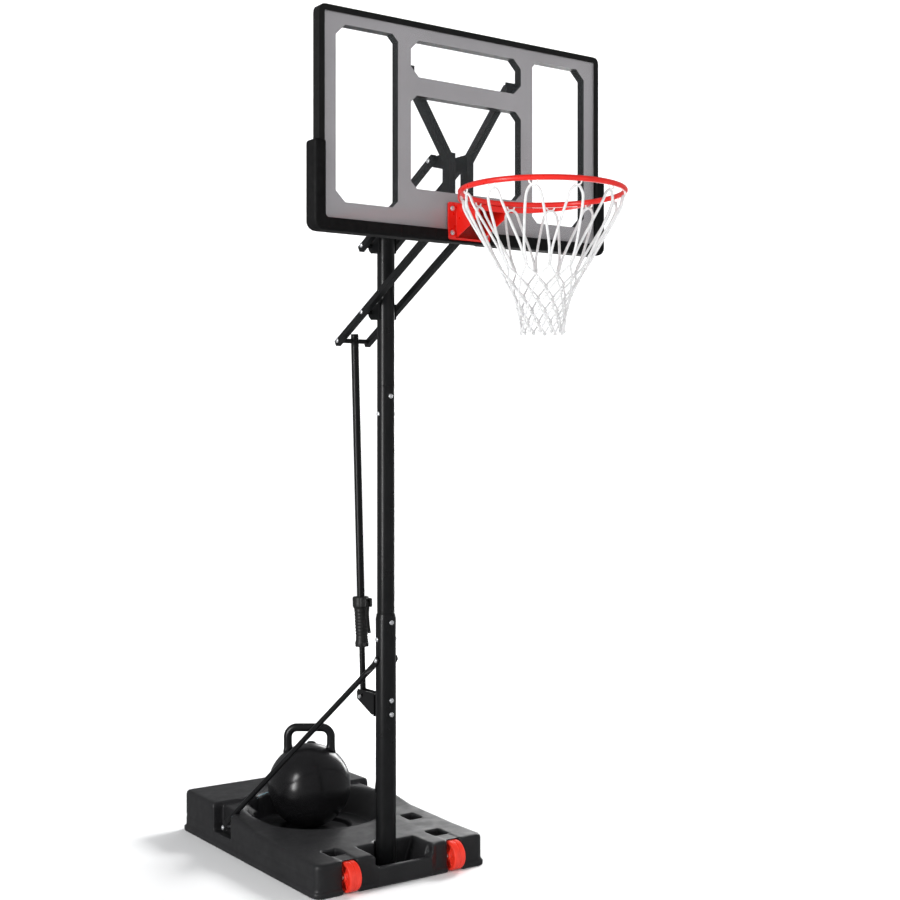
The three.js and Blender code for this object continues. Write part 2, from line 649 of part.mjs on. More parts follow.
// The crescent of steel under the back of the ring: deepest at the bracket and thin at its tips.
function rimBrace() {
  const { reach, drop, end, thickness } = BRACE;
  const top = RING.z - RING.rod - GAP;
  const far = RING_LINE + RING.rod;
  const rings = Array.from({ length: 17 }, (_, i) => {
    const share = i / 8 - 1;
    const angle = Math.PI / 2 + (share * reach * Math.PI) / 180;
    const depth = end + (drop - end) * (1 - share * share);
    const corner = (radius, z) =>
      new THREE.Vector3(radius * Math.cos(angle), RING.y + radius * Math.sin(angle), z);
    const near = far - thickness;
    return [corner(near, top), corner(far, top), corner(far, top - depth), corner(near, top - depth)];
  });
  return lofted(rings);
}

// The plate on the board and the neck that carries the ring.
function rimBracket() {
  const { halfWidth, bottom, top, boltX, boltLow, boltHigh } = PLATE;
  const outline = roundedRectangle([-halfWidth, bottom], [halfWidth, top], [8, 8, 8, 8]);
  const plate = pushed("Y", outline, plateFront(), plateRear());
  const neck = pushed("X", [
    [plateFront() + 1, bottom + 6], [plateFront() + 1, top - 6], [NECK.front, RING.z + 6],
    [NECK.front, RING.z - NECK.depth],
  ], -NECK.halfWidth, NECK.halfWidth);
  // folded from sheet, so it is open underneath
  const inside = pushed("X", [
    [plateFront() - GAP, bottom - 60], [plateFront() - GAP, top - 6 - NECK.sheet],
    [NECK.open, RING.z + 6 - NECK.sheet], [NECK.open, RING.z - 90],
  ], NECK.sheet - NECK.halfWidth, NECK.halfWidth - NECK.sheet);
  const room = rod([0, RING.y, 2000], [0, RING.y, 2400], RING_LINE + RING.rod + GAP + 0.1, 44);
  const holes = [boltLow, boltHigh].flatMap((z) =>
    [-boltX, boltX].map((x) => rod([x, -500, z], [x, -460, z], BOLT.radius + PLAY, 10)),
  );
  return cut(join(plate, cut(neck, room, inside)), ...holes);
}

// The net as one thin funnel, open at both ends.
function netFunnel() {
  const stations = NET_CURVE.map(([drop, radius]) => new THREE.Vector3(drop, radius, 0));
  const points = new THREE.CatmullRomCurve3(stations).getPoints(80);
  const radiusAt = (z) => {
    const drop = RING.z - z;
    const closer = (best, p) => (Math.abs(p.x - drop) < Math.abs(best.x - drop) ? p : best);
    return points.reduce(closer).y;
  };
  const steps = 6;
  const step = (NET.top - NET.bottom) / steps;
  const heights = Array.from({ length: steps + 1 }, (_, i) => NET.bottom + step * i);
  const outside = heights.map((z) => [radiusAt(z) + NET.cord / 2, z]);
  const inside = heights.map((z) => [radiusAt(z) - NET.cord / 2, z]).reverse();
  return turned([...outside, ...inside, outside[0]], [0, RING.y, 0], [0, 0, 1], 20);
}

// ---------------------------------------------------------------- lift mechanism

// Along its own Z axis, with the rear pin at the origin.
function liftTube() {
  const { tubeRadius, tubeBore, gripBottom } = LIFT;
  const profile = [
    [tubeBore, 24], [tubeRadius, 24], [tubeRadius, gripBottom + 6], [tubeBore, gripBottom + 6],
    [tubeBore, 24],
  ];
  const hole = rod([-40, 0, 0], [40, 0, 0], PIVOT.radius + PLAY, 10);
  return turned(profile, [0, 0, 0], [0, 0, 1]).subtract(hole);
}

function liftHandle() {
  const { tubeRadius, gripTop, gripBottom } = LIFT;
  const bore = tubeRadius + GAP;
  const grip = turned([
    [bore, gripTop], [26, gripTop], [29, gripTop - 4], [29, gripTop - 34], [24, gripTop - 42],
    [23, gripTop - 90], [21, gripBottom + 26], [23.5, gripBottom + 12], [23, gripBottom],
    [bore, gripBottom], [bore, gripTop],
  ], [0, 0, 0], [0, 0, 1]);
  const housing = cut(
    pushed("X", [
      [-20, gripTop - 2], [-50, gripTop - 6], [-53, gripTop - 24], [-46, gripTop - 34], [-20, gripTop - 36],
    ], -14, 14),
    rod([0, 0, gripTop - 60], [0, 0, gripTop + 20], bore + 4),
  );
  const slot = box([-6, -80, gripTop - 60], [6, -30, gripTop - 9]);
  const foot = box([-6, -34, gripBottom + 3], [6, -20, gripBottom + 16]);
  const tubeRoom = rod([0, 0, gripBottom - 5], [0, 0, gripBottom + 30], bore + 4);
  return cut(join(grip, housing, foot.subtract(tubeRoom)), slot, triggerPin(30, PLAY));
}

// The trigger's pin, or the hole for it when there is play round it.
function triggerPin(halfLength, play = 0) {
  const { y, z, radius } = TRIGGER_PIN;
  return rod([-halfLength, y, z], [halfLength, y, z], radius + play, 12);
}

function liftTrigger() {
  const top = LIFT.gripTop;
  const lever = pushed("X", [
    [-37, top - 15], [-42, top - 13], [-47, top - 16], [-47.5, top - 26], [-42, top - 60], [-46, top - 96],
    [-52, top - 122], [-48, top - 124], [-41, top - 98], [-36, top - 60], [-37, top - 26],
  ], -5.4, 5.4);
  return lever.subtract(triggerPin(20, PLAY));
}

function liftRod() {
  const { rodRadius, rodBore } = LIFT;
  const profile = [
    [rodBore, -700], [rodRadius, -700], [rodRadius, -LIFT_LENGTH - 12], [rodBore, -LIFT_LENGTH - 12],
    [rodBore, -700],
  ];
  const hole = rod([-40, 0, -LIFT_LENGTH], [40, 0, -LIFT_LENGTH], BOLT.radius + PLAY, 10);
  return turned(profile, [0, 0, 0], [0, 0, 1], 20).subtract(hole);
}

function liftRodPin() {
  const { radius, headRadius } = BOLT;
  const inner = 14.7;
  return turned([
    [0, -inner - 4], [headRadius - 2, -inner - 3], [headRadius - 1, -inner], [radius, -inner],
    [radius, inner], [headRadius - 1, inner], [headRadius - 2, inner + 3], [0, inner + 4],
  ], [0, 0, -LIFT_LENGTH], [1, 0, 0], 12);
}

// The bracket on the pole: two cheeks with the slot that the rod pin works in, and a back plate.
function liftBracket() {
  const near = POLE.lowerRadius + GAP;
  const { bottom, top, reach, cheekX, sheet, halfWidth } = LIFT_BRACKET;
  const outline = [
    [near, bottom], [near, top], [reach - 6, top], [reach, top - 10], [reach - 2, top - 34],
    [near + 35, bottom],
  ];
  const cheek = (x) => pushed("X", outline, x - sheet / 2, x + sheet / 2);
  const back = box([-halfWidth, near, bottom], [halfWidth, near + sheet, top]);
  const slotRadius = BOLT.radius + 1.5;
  const slot = [LIFT_FOOT, LIFT_SLOT_END].map(({ y, z }) => rod([-40, y, z], [40, y, z], slotRadius, 16));
  const along = new THREE.Vector2(LIFT_SLOT_END.y - LIFT_FOOT.y, LIFT_SLOT_END.z - LIFT_FOOT.z).normalize();
  const edge = ({ y, z }, way) => [y - way * along.y * slotRadius, z + way * along.x * slotRadius];
  const middle = pushed("X", [
    edge(LIFT_FOOT, -1), edge(LIFT_SLOT_END, -1), edge(LIFT_SLOT_END, 1), edge(LIFT_FOOT, 1),
  ], -40, 40);
  const { bracketHigh, bracketLow } = FRONT_BOLTS;
  const bolts = [bracketHigh, bracketLow].map((z) => rod([0, 20, z], [0, 60, z], BOLT.radius + PLAY, 10));
  return cut(join(cheek(-cheekX), cheek(cheekX), back), ...slot, middle, ...bolts);
}

// ---------------------------------------------------------------- weight

// The ball about its own centre: a sphere with a flat foot; grow is added to its radius.
function ballForm(grow) {
  const radius = WEIGHT.radius + grow;
  const flat = WEIGHT.flat + grow;
  const start = Math.acos(flat / radius);
  const steps = 9;
  const arc = Array.from({ length: steps + 1 }, (_, i) => {
    const angle = start + ((Math.PI - start) * i) / steps;
    return [Math.max(radius * Math.sin(angle), 0), -radius * Math.cos(angle)];
  });
  arc[steps][0] = 0;
  return turned([[0, -flat], ...arc], [0, 0, 0], [0, 0, 1], 24);
}

const capTilt = THREE.MathUtils.degToRad(WEIGHT_CAP.tilt);
const capAxis = new THREE.Vector3(0, Math.sin(capTilt), Math.cos(capTilt));
const alongCap = (distance) => capAxis.clone().multiplyScalar(distance).toArray();

function weightBall() {
  const rim = rod(alongCap(WEIGHT.radius - 5), alongCap(WEIGHT.radius + 2), WEIGHT_CAP.radius + 3, 20);
  const mouth = rod(alongCap(120), alongCap(WEIGHT.radius + 20), WEIGHT_CAP.hole, 20);
  return cut(join(ballForm(0).subtract(ballForm(-WEIGHT.wall)), rim), mouth);
}

function weightSand() {
  return ballForm(-WEIGHT.wall - GAP).subtract(rod(alongCap(130), alongCap(170), WEIGHT_CAP.hole + 6, 20));
}

function weightCap() {
  const { radius, hole } = WEIGHT_CAP;
  const seat = WEIGHT.radius + 2 + GAP;
  return turned([
    [0, seat - 16], [hole - 1, seat - 16], [hole - 1, seat], [radius, seat], [radius, seat + 5],
    [radius - 3, seat + 7], [0, seat + 7],
  ], [0, 0, 0], capAxis.toArray());
}

function weightHandle() {
  const { halfWidth, top, tube, corner } = WEIGHT_HANDLE;
  const centre = (t) => {
    // two legs, two round corners and a level grip, by distance along the loop
    const leg = top - corner - 90;
    const arc = (Math.PI / 2) * corner;
    const level = 2 * (halfWidth - corner);
    const s = t * (2 * leg + 2 * arc + level);
    const bend = (angle, way) => [
      way * (halfWidth - corner + corner * Math.cos(angle)),
      top - corner + corner * Math.sin(angle),
    ];
    if (s <= leg) return [-halfWidth, 90 + s];
    if (s <= leg + arc) return bend((s - leg) / corner, -1);
    if (s <= leg + arc + level) return [-halfWidth + corner + (s - leg - arc), top];
    if (s <= leg + 2 * arc + level) return bend(Math.PI / 2 - (s - leg - arc - level) / corner, 1);
    return [halfWidth, top - corner - (s - leg - 2 * arc - level)];
  };
  const steps = 20;
  const rings = Array.from({ length: steps + 1 }, (_, i) => {
    const [x, z] = centre(i / steps);
    const [ax, az] = centre(Math.max(i / steps - 0.004, 0));
    const [bx, bz] = centre(Math.min(i / steps + 0.004, 1));
    const direction = new THREE.Vector3(bx - ax, 0, bz - az).normalize();
    const wide = new THREE.Vector3(0, 1, 0);
    const high = direction.clone().cross(wide);
    return Array.from({ length: 9 }, (__, j) => {
      const spin = (j / 9) * Math.PI * 2;
      const point = new THREE.Vector3(x, 0, z).addScaledVector(wide, tube * Math.cos(spin));
      return point.addScaledVector(high, tube * Math.sin(spin));
    });
  });
  return lofted(rings).subtract(ballForm(GAP));
}

// ---------------------------------------------------------------- assembly

const hoop = new THREE.Group();

function buildBase() {
  const base = group(hoop);
  piece(base, "base_tank", tank(), blackPlastic);
  piece(base, "ballast_water", tankWater(), water);
  piece(base, "base_fill_cap", fillCap(), blackPlastic);
  for (const [name, side] of SIDES) {
    const corner = group(base, [side * WHEEL.x, WHEEL.y, WHEEL.z]);
    const reach = WHEEL.width / 2 + WHEEL.side + 8;
    piece(corner, `${name}_wheel`, wheel(), redPlastic);
    piece(corner, `${name}_wheel_axle`, rod([-reach, 0, 0], [reach, 0, 0], WHEEL.axleRadius), zinc);
    piece(base, `${name}_strut`, strut(side), blackPaint);
    piece(base, `${name}_strut_bolt`, strutBolt(side), zinc);
  }
}

// The strut bolt screws into the tank, so it has no nut.
function strutBolt(side) {
  const { baseX, baseY, baseZ, tabThin } = STRUT;
  const end = 276;
  const whole = bolt([side * (baseX + tabThin + 1), baseY, baseZ], [side * end, baseY, baseZ]);
  const nut = rod([side * end, baseY, baseZ], [side * (end - 60), baseY, baseZ], 30);
  return whole.subtract(nut);
}

function buildPole() {
  const pole = group(hoop);
  const holes = poleHoles();
  const side = POLE.lowerRadius + GAP;
  const upperSide = POLE.radius + GAP;
  const footPlug = POLE.lowerRadius - POLE.wall - GAP;
  piece(pole, "pole_foot_cap", poleCap(POLE.foot + 4, GAP - 4, POLE.lowerRadius, footPlug), blackPlastic);
  piece(pole, "pole_lower", cut(poleLower(), ...holes), blackPaint);
  piece(pole, "pole_middle", cut(poleMiddle(), ...holes), blackPaint);
  piece(pole, "pole_upper", cut(poleUpper(), ...holes), blackPaint);
  const plug = POLE.radius - 2 * POLE.wall - 2 * GAP;
  piece(pole, "pole_top_cap", poleCap(POLE.top + GAP, 9, POLE.radius, plug), blackPlastic);
  for (const [name, half] of [["lower", side], ["upper", upperSide]]) {
    const front = FRONT_BOLTS[`${name}Joint`];
    const across = SIDE_BOLTS[`${name}Joint`];
    piece(pole, `${name}_joint_bolt_front`, bolt([0, -half, front], [0, half, front]), zinc);
    piece(pole, `${name}_joint_bolt_side`, bolt([-half, 0, across], [half, 0, across]), zinc);
  }
  const tab = STRUT.poleX + STRUT.tabThin + GAP;
  piece(pole, "strut_pole_bolt", bolt([-tab, 0, STRUT.poleZ], [tab, 0, STRUT.poleZ]), zinc);
  piece(pole, "lower_pivot_bracket", pivotBracket(LOWER_PIVOT), blackPaint);
  piece(pole, "upper_pivot_bracket", pivotBracket(UPPER_PIVOT), blackPaint);
  const sleeve = { from: POLE.radius + 1 + 3.5 + GAP, to: ARM.x - ARM.size / 2 - 2 * GAP, radius: 8 };
  piece(pole, "lower_pivot_bolt", pivotBolt(LOWER_PIVOT.y, LOWER_PIVOT.z, sleeve), zinc);
  piece(pole, "upper_pivot_bolt", pivotBolt(UPPER_PIVOT.y, UPPER_PIVOT.z, sleeve), zinc);
  piece(pole, "lift_bracket", liftBracket(), blackPaint);
  for (const [name, z] of [["upper", FRONT_BOLTS.bracketHigh], ["lower", FRONT_BOLTS.bracketLow]]) {
    piece(pole, `lift_bracket_bolt_${name}`, bolt([0, -side, z], [0, side + 3 + GAP, z]), zinc);
  }
}

function armGroup(pivot) {
  const arms = group(hoop, [0, pivot.y, pivot.z]);
  arms.rotation.x = -ARM_ANGLE;
  return arms;
}

function buildArms() {
  const lower = armGroup(LOWER_PIVOT);
  const upper = armGroup(UPPER_PIVOT);
  const { length, rear, overhang } = ARM;
  for (const [name, side] of SIDES) {
    const lowerArm = arm(side, -length - overhang, rear + overhang, [-length, 0, rear]);
    piece(lower, `${name}_lower_arm`, lowerArm, blackPaint);
    piece(upper, `${name}_upper_arm`, arm(side, -length - overhang, overhang + 4, [-length, 0]), blackPaint);
  }
  piece(lower, "rear_pin", pivotBolt(rear, 0), zinc);
  piece(lower, "lower_front_bolt", pivotBolt(-length, 0), zinc);
  piece(upper, "upper_front_bolt", pivotBolt(-length, 0), zinc);
}

function buildBoard() {
  const board = group(hoop);
  const frontPivots = [LOWER_PIVOT, UPPER_PIVOT].map(({ y, z }) => ({
    y: y - ARM.length * Math.cos(ARM_ANGLE),
    z: z + ARM.length * Math.sin(ARM_ANGLE),
  }));
  for (const [name, side] of SIDES) {
    piece(board, `${name}_board_bracket`, boardBracket(side, frontPivots), blackPaint);
  }
  piece(board, "board_frame", boardFrame(), blackPlastic);
  piece(board, "board_face", cut(boardSlab(EDGE, SHEET_REAR + GAP, FACE_REAR), ...boardWindows()), greyPrint);
  piece(board, "board_panel", boardSlab(EDGE, BOARD.front, SHEET_REAR), clearSheet);
  piece(board, "board_trim", boardTrim(), padFoam);
  piece(board, "board_pad", boardPad(), padFoam);
  piece(board, "rim_bracket", rimBracket(), redPaint);
  piece(board, "rim_ring", rimRing(), redPaint);
  piece(board, "rim_brace", rimBrace(), redPaint);
  piece(board, "net", netFunnel(), whiteCord);
  let count = 0;
  for (const z of [PLATE.boltLow, PLATE.boltHigh]) {
    for (const x of [-PLATE.boltX, PLATE.boltX]) {
      count += 1;
      piece(board, `rim_bolt_${count}`, rimBolt(x, z), zinc);
    }
  }
}

// A rim bolt stands in the plate alone and stops at the board's face.
function rimBolt(x, z) {
  const start = plateFront() - GAP;
  const { headRadius, headHeight, radius } = BOLT;
  return turned([
    [0, -headHeight], [headRadius * 0.55, -headHeight * 0.85], [headRadius, 0], [radius, 0],
    [radius, PLATE.thickness], [0, PLATE.thickness],
  ], [x, start, z], [0, 1, 0], 12);
}

function buildLift() {
  const lift = group(hoop, [0, REAR_PIN.y, REAR_PIN.z]);
  lift.rotation.x = -LIFT_LEAN;
  piece(lift, "lift_tube", liftTube(), blackPaint);
  piece(lift, "lift_handle", liftHandle(), blackPlastic);
  piece(lift, "lift_trigger", liftTrigger(), blackPlastic);
  piece(lift, "trigger_pin", triggerPin(TRIGGER_PIN.halfLength), zinc);
  piece(lift, "lift_rod", liftRod(), blackPaint);
  piece(lift, "lift_rod_pin", liftRodPin(), zinc);
}

function buildWeight() {
  const weight = group(hoop, [0, WEIGHT.y, WEIGHT.z]);
  weight.rotation.z = THREE.MathUtils.degToRad(WEIGHT.turn);
  piece(weight, "weight_ball", weightBall(), glossBlack);
  piece(weight, "weight_sand", weightSand(), sand);
  piece(weight, "weight_handle", weightHandle(), glossBlack);
  piece(weight, "weight_cap", weightCap(), glossBlack);
}

buildBase();
buildPole();
buildArms();
buildBoard();
buildLift();
buildWeight();

export default hoop;
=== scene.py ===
"""The looks of a portable basketball hoop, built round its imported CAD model.

Shapes are worked out in millimetres in the model's own frame and become metres when they are made
into pieces.
"""

import json
import math

import bmesh
import bpy
import numpy as np
from mathutils import Matrix, Vector


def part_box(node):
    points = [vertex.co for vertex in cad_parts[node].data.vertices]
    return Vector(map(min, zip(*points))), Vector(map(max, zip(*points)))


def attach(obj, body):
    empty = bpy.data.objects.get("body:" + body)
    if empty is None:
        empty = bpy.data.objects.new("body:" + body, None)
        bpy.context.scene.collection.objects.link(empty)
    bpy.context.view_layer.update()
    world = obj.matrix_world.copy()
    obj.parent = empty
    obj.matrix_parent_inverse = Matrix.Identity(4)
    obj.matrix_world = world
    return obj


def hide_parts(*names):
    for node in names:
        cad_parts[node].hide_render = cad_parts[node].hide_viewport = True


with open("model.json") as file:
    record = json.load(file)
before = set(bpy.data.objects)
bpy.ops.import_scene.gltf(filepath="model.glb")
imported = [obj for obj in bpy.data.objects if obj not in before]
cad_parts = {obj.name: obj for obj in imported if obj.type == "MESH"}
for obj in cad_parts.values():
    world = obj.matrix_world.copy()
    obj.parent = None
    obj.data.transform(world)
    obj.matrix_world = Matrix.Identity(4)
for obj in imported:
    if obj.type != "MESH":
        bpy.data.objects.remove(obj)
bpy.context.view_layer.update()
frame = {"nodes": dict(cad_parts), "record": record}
NODES = frame["nodes"]
BODY = {node: body for body, nodes in frame["record"]["behaviour"]["bodies"].items() for node in nodes}
MM = 0.001


def box_mm(node):
    """The lowest and highest corner of a CAD node, in millimetres."""
    low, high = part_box(node)
    return low / MM, high / MM


def middle_mm(node):
    low, high = box_mm(node)
    return (low + high) / 2


# ---------------------------------------------------------------- camera, light and floor

CAMERA = {"place": (-2.5686, -4.0172, 1.4766), "turn": -35.19, "lens": 56.6, "shift": -0.0169}
BACKDROP = {"radius": 11.0, "curve": 4.0, "height": 9.0}


def add_camera():
    data = bpy.data.cameras.new("camera")
    data.lens = CAMERA["lens"]
    data.sensor_width = 36.0
    data.shift_y = CAMERA["shift"]
    camera = bpy.data.objects.new("camera", data)
    camera.location = CAMERA["place"]
    camera.rotation_euler = (math.radians(90), 0.0, math.radians(CAMERA["turn"]))
    bpy.context.scene.collection.objects.link(camera)
    bpy.context.scene.camera = camera


def add_light(name, place, aim, size, power, in_gloss=True):
    data = bpy.data.lights.new(name, "AREA")
    data.shape = "RECTANGLE"
    data.size, data.size_y = size
    data.energy = power
    light = bpy.data.objects.new(name, data)
    light.location = place
    light.rotation_euler = (Vector(aim) - Vector(place)).to_track_quat("-Z", "Y").to_euler()
    light.visible_camera = False
    light.visible_glossy = in_gloss
    bpy.context.scene.collection.objects.link(light)


def add_lights():
    world = bpy.data.worlds.new("studio")
    world.use_nodes = True
    sky = world.node_tree.nodes["Background"]
    sky.inputs["Color"].default_value = (0.97, 0.98, 1.0, 1.0)
    sky.inputs["Strength"].default_value = 0.22
    bpy.context.scene.world = world
    add_light("key", (4.4, 1.2, 3.4), (0, 0.2, 0.6), (1.8, 1.4), 300, in_gloss=False)
    add_light("left_box", (-4.2, -0.8, 1.7), (0, 0, 1.2), (0.6, 3.2), 110)
    add_light("right_strip", (2.9, 1.9, 1.3), (0, 0.4, 0.8), (0.4, 2.2), 26)
    add_light("front_fill", (-0.6, -5.2, 3.6), (0, -0.4, 2.2), (2.4, 1.6), 60, in_gloss=False)
    add_light("rear_sheen", (4.2, 4.2, 2.0), (0, 0.5, 0.3), (2.6, 1.2), 50)
    bpy.context.scene.view_settings.view_transform = "Standard"


def add_backdrop():
    """A round pale floor that curves up into a wall all the way round."""
    radius, curve, height = BACKDROP["radius"], BACKDROP["curve"], BACKDROP["height"]
    bend = [
        (radius + curve * math.sin(a), curve * (1 - math.cos(a)))
        for a in np.linspace(0, math.pi / 2, 10)
    ]
    profile = [(0.0, 0.0), *bend, (radius + curve, height)]
    profile = [(r / MM, z / MM) for r, z in profile]
    vertices, faces = turned(profile, (0, 0, 0), (0, 0, 1), 96, 0, open_ended=True)
    floor = mesh_object("studio_floor", vertices, faces, studio_floor(), 60)
    # it lights the scene, and gloss shows only the lights and the dimmer sky
    floor.visible_glossy = False


# ---------------------------------------------------------------- shapes, each as (vertices, faces)


def eased(points, radius, steps=4, closed=True):
    """The outline with a curve of about that radius at each corner."""
    points = [Vector(p) for p in points]
    if radius <= 0:
        return points
    made = []
    last = len(points) - 1
    for i, corner in enumerate(points):
        if not closed and i in (0, last):
            made.append(corner)
            continue
        before, after = points[i - 1], points[(i + 1) % len(points)]
        back = min(radius, (before - corner).length * 0.45)
        ahead = min(radius, (after - corner).length * 0.45)
        start = corner + (before - corner).normalized() * back
        end = corner + (after - corner).normalized() * ahead
        for k in range(steps + 1):
            t = k / steps
            made.append(start * (1 - t) ** 2 + corner * 2 * t * (1 - t) + end * t**2)
    return made


def skin(rings, closed=False):
    """A skin over rings with the same number of points; closed joins the last ring to the first."""
    count = len(rings[0])
    vertices = [p for ring in rings for p in ring]
    faces = []
    for i in range(len(rings) if closed else len(rings) - 1):
        here, there = i * count, (i + 1) % len(rings) * count
        for j in range(count):
            k = (j + 1) % count
            faces.append((here + j, here + k, there + k, there + j))
    if not closed:
        faces.append(tuple(reversed(range(count))))
        faces.append(tuple(range(len(vertices) - count, len(vertices))))
    return vertices, faces


def turned(profile, origin, direction, segments=64, ease=0.5, open_ended=False):
    """A profile of (radius, distance) pairs turned about the line from origin along direction."""
    on_axis = profile[0][0] == 0 or open_ended
    profile = eased(profile, ease, 3, closed=not on_axis)
    turn = Vector((0, 0, 1)).rotation_difference(Vector(direction)).to_matrix()
    origin = Vector(origin)
    vertices, rings = [], []
    for radius, distance in profile:
        alone = abs(radius) < 1e-6
        ring = []
        for k in range(1 if alone else segments):
            angle = 2 * math.pi * k / segments
            ring.append(len(vertices))
            local = Vector((radius * math.cos(angle), radius * math.sin(angle), distance))
            vertices.append(origin + turn @ local)
        rings.append(ring)
    faces = []
    for a, b in zip(rings, rings[1:] if on_axis else rings[1:] + rings[:1]):
        for k in range(segments):
            n = (k + 1) % segments
            corners = [a[k % len(a)], a[n % len(a)], b[n % len(b)], b[k % len(b)]]
            kept = list(dict.fromkeys(corners))
            if len(kept) > 2:
                faces.append(tuple(kept))
    return vertices, faces


def pin(place, axis, radius, start, end, segments, ease=0.5):
    """A plain round bar about the line from place along axis."""
    return turned([(0, start), (radius, start), (radius, end), (0, end)], place, axis, segments, ease)


def sleeve(place, axis, bore, radius, start, end, segments, ease=0.5):
    """A plain round tube about the line from place along axis."""
    profile = [(bore, start), (radius, start), (radius, end), (bore, end)]
    return turned(profile, place, axis, segments, ease)


def frames_along(path, up, closed=False):
    """For each point of a path: (point, side axis, upper axis), turning as little as it can."""
    path = [Vector(p) for p in path]
    upper = Vector(up)
    made = []
    for i, point in enumerate(path):
        before = path[i - 1] if i or closed else point
        after = path[(i + 1) % len(path)] if i + 1 < len(path) or closed else point
        ahead = (after - before).normalized()
        side = ahead.cross(upper).normalized()
        upper = side.cross(ahead).normalized()
        made.append((point, side, upper))
    return made


def swept(path, section, up=(0, 0, 1), closed=False):
    """A section of (side, up) pairs, or a function from a point's number to one, carried along a path."""
    rings = []
    for i, (point, side, upper) in enumerate(frames_along(path, up, closed)):
        outline = section(i) if callable(section) else section
        rings.append([point + side * u + upper * v for u, v in outline])
    return skin(rings, closed)


def circle(radius, points=12):
    angles = [2 * math.pi * k / points for k in range(points)]
    return [(radius * math.cos(a), radius * math.sin(a)) for a in angles]


def smooth_path(points, steps):
    """A smooth curve through the given points."""
    points = [Vector(p) for p in points]
    ends = [points[0] * 2 - points[1], *points, points[-1] * 2 - points[-2]]
    made = []
    for a, b, c, d in zip(ends, ends[1:], ends[2:], ends[3:]):
        for k in range(steps):
            t = k / steps
            bend = (a * 2 - b * 5 + c * 4 - d) * t**2
            made.append((b * 2 + (c - a) * t + bend + (b * 3 - a - c * 3 + d) * t**3) / 2)
    made.append(points[-1])
    return made


def joined(*shapes):
    vertices, faces = [], []
    for more, sides in shapes:
        first = len(vertices)
        vertices += list(more)
        faces += [tuple(first + k for k in side) for side in sides]
    return vertices, faces


# ---------------------------------------------------------------- smooth solids from distance fields


def grid(low, high, step):
    """Sparse x, y and z arrays that reach a little past the box from low to high."""
    axes = [np.arange(a - 2 * step, b + 2.5 * step, step, dtype=np.float32) for a, b in zip(low, high)]
    return np.meshgrid(*axes, indexing="ij", sparse=True)


def box_field(at, low, high, radius=0.0):
    """Distance to a box with rounded edges, less than 0 inside it."""
    away = [abs(p - (a + b) / 2) - (b - a) / 2 + radius for p, a, b in zip(at, low, high)]
    outside = np.sqrt(sum(np.maximum(d, 0) ** 2 for d in away))
    inside = np.minimum(np.maximum(np.maximum(away[0], away[1]), away[2]), 0)
    return outside + inside - radius


def plan_field(at, low, high, radius):
    """Distance to an upright wall round a rectangle with round corners."""
    away = [abs(p - (a + b) / 2) - (b - a) / 2 + radius for p, a, b in zip(at[:2], low, high)]
    outside = np.sqrt(np.maximum(away[0], 0) ** 2 + np.maximum(away[1], 0) ** 2)
    return outside + np.minimum(np.maximum(away[0], away[1]), 0) - radius


def drum_field(at, centre, radius, bottom, top, axis=2):
    """Distance to a round drum whose line runs along one axis; centre holds the other two places."""
    others = [at[i] for i in range(3) if i != axis]
    across = np.sqrt((others[0] - centre[0]) ** 2 + (others[1] - centre[1]) ** 2) - radius
    return np.maximum(across, abs(at[axis] - (bottom + top) / 2) - (top - bottom) / 2)


def melt(a, b, radius):
    """The two solids together, with a soft inner corner of about that radius."""
    near = np.maximum(radius - abs(a - b), 0) / radius
    return np.minimum(a, b) - near * near * radius / 4


def carve(solid, tool, radius):
    """The solid without the tool, with a soft edge of about that radius."""
    return -melt(-solid, tool, radius)


def surface_of(field, at, step):
    """Surface nets: one point in each cell that the surface crosses, and one face on each crossed edge."""
    low = np.array([float(a.ravel()[0]) for a in at])
    cells = [n - 1 for n in field.shape]
    total = np.zeros((*cells, 3), np.float32)
    count = np.zeros(cells, np.float32)
    edges = []
    for axis in range(3):
        start = [slice(None)] * 3
        end = [slice(None)] * 3
        start[axis], end[axis] = slice(0, -1), slice(1, None)
        a, b = field[tuple(start)], field[tuple(end)]
        crossed = (a < 0) != (b < 0)
        share = np.where(crossed, a / np.where(crossed, a - b, 1), 0)
        first, second = [i for i in range(3) if i != axis]
        for df in (0, 1):
            for ds in (0, 1):
                part = [slice(None)] * 3
                part[first] = slice(df, df + cells[first])
                part[second] = slice(ds, ds + cells[second])
                here = crossed[tuple(part)]
                total[..., axis] += share[tuple(part)]
                total[..., first] += here * df
                total[..., second] += here * ds
                count += here
        edges.append((axis, first, second, crossed, a < 0))
    active = count > 0
    number = np.full(active.shape, -1, np.int64)
    number[active] = np.arange(active.sum())
    places = np.argwhere(active) + total[active] / count[active][:, None]
    faces = []
    for axis, first, second, crossed, entering in edges:
        found = np.argwhere(crossed)
        kept = (found[:, first] > 0) & (found[:, second] > 0)
        kept &= (found[:, first] < cells[first]) & (found[:, second] < cells[second])
        found = found[kept]
        corners = []
        for df, ds in ((1, 1), (0, 1), (0, 0), (1, 0)):
            cell = found.copy()
            cell[:, first] -= df
            cell[:, second] -= ds
            corners.append(number[tuple(cell.T)])
        quads = np.stack(corners, axis=1)
        outward = entering[tuple(found.T)] != (axis == 1)
        quads[~outward] = quads[~outward][:, ::-1]
        faces.append(quads)
    return low + places * step, np.concatenate(faces).tolist()


# ---------------------------------------------------------------- pieces


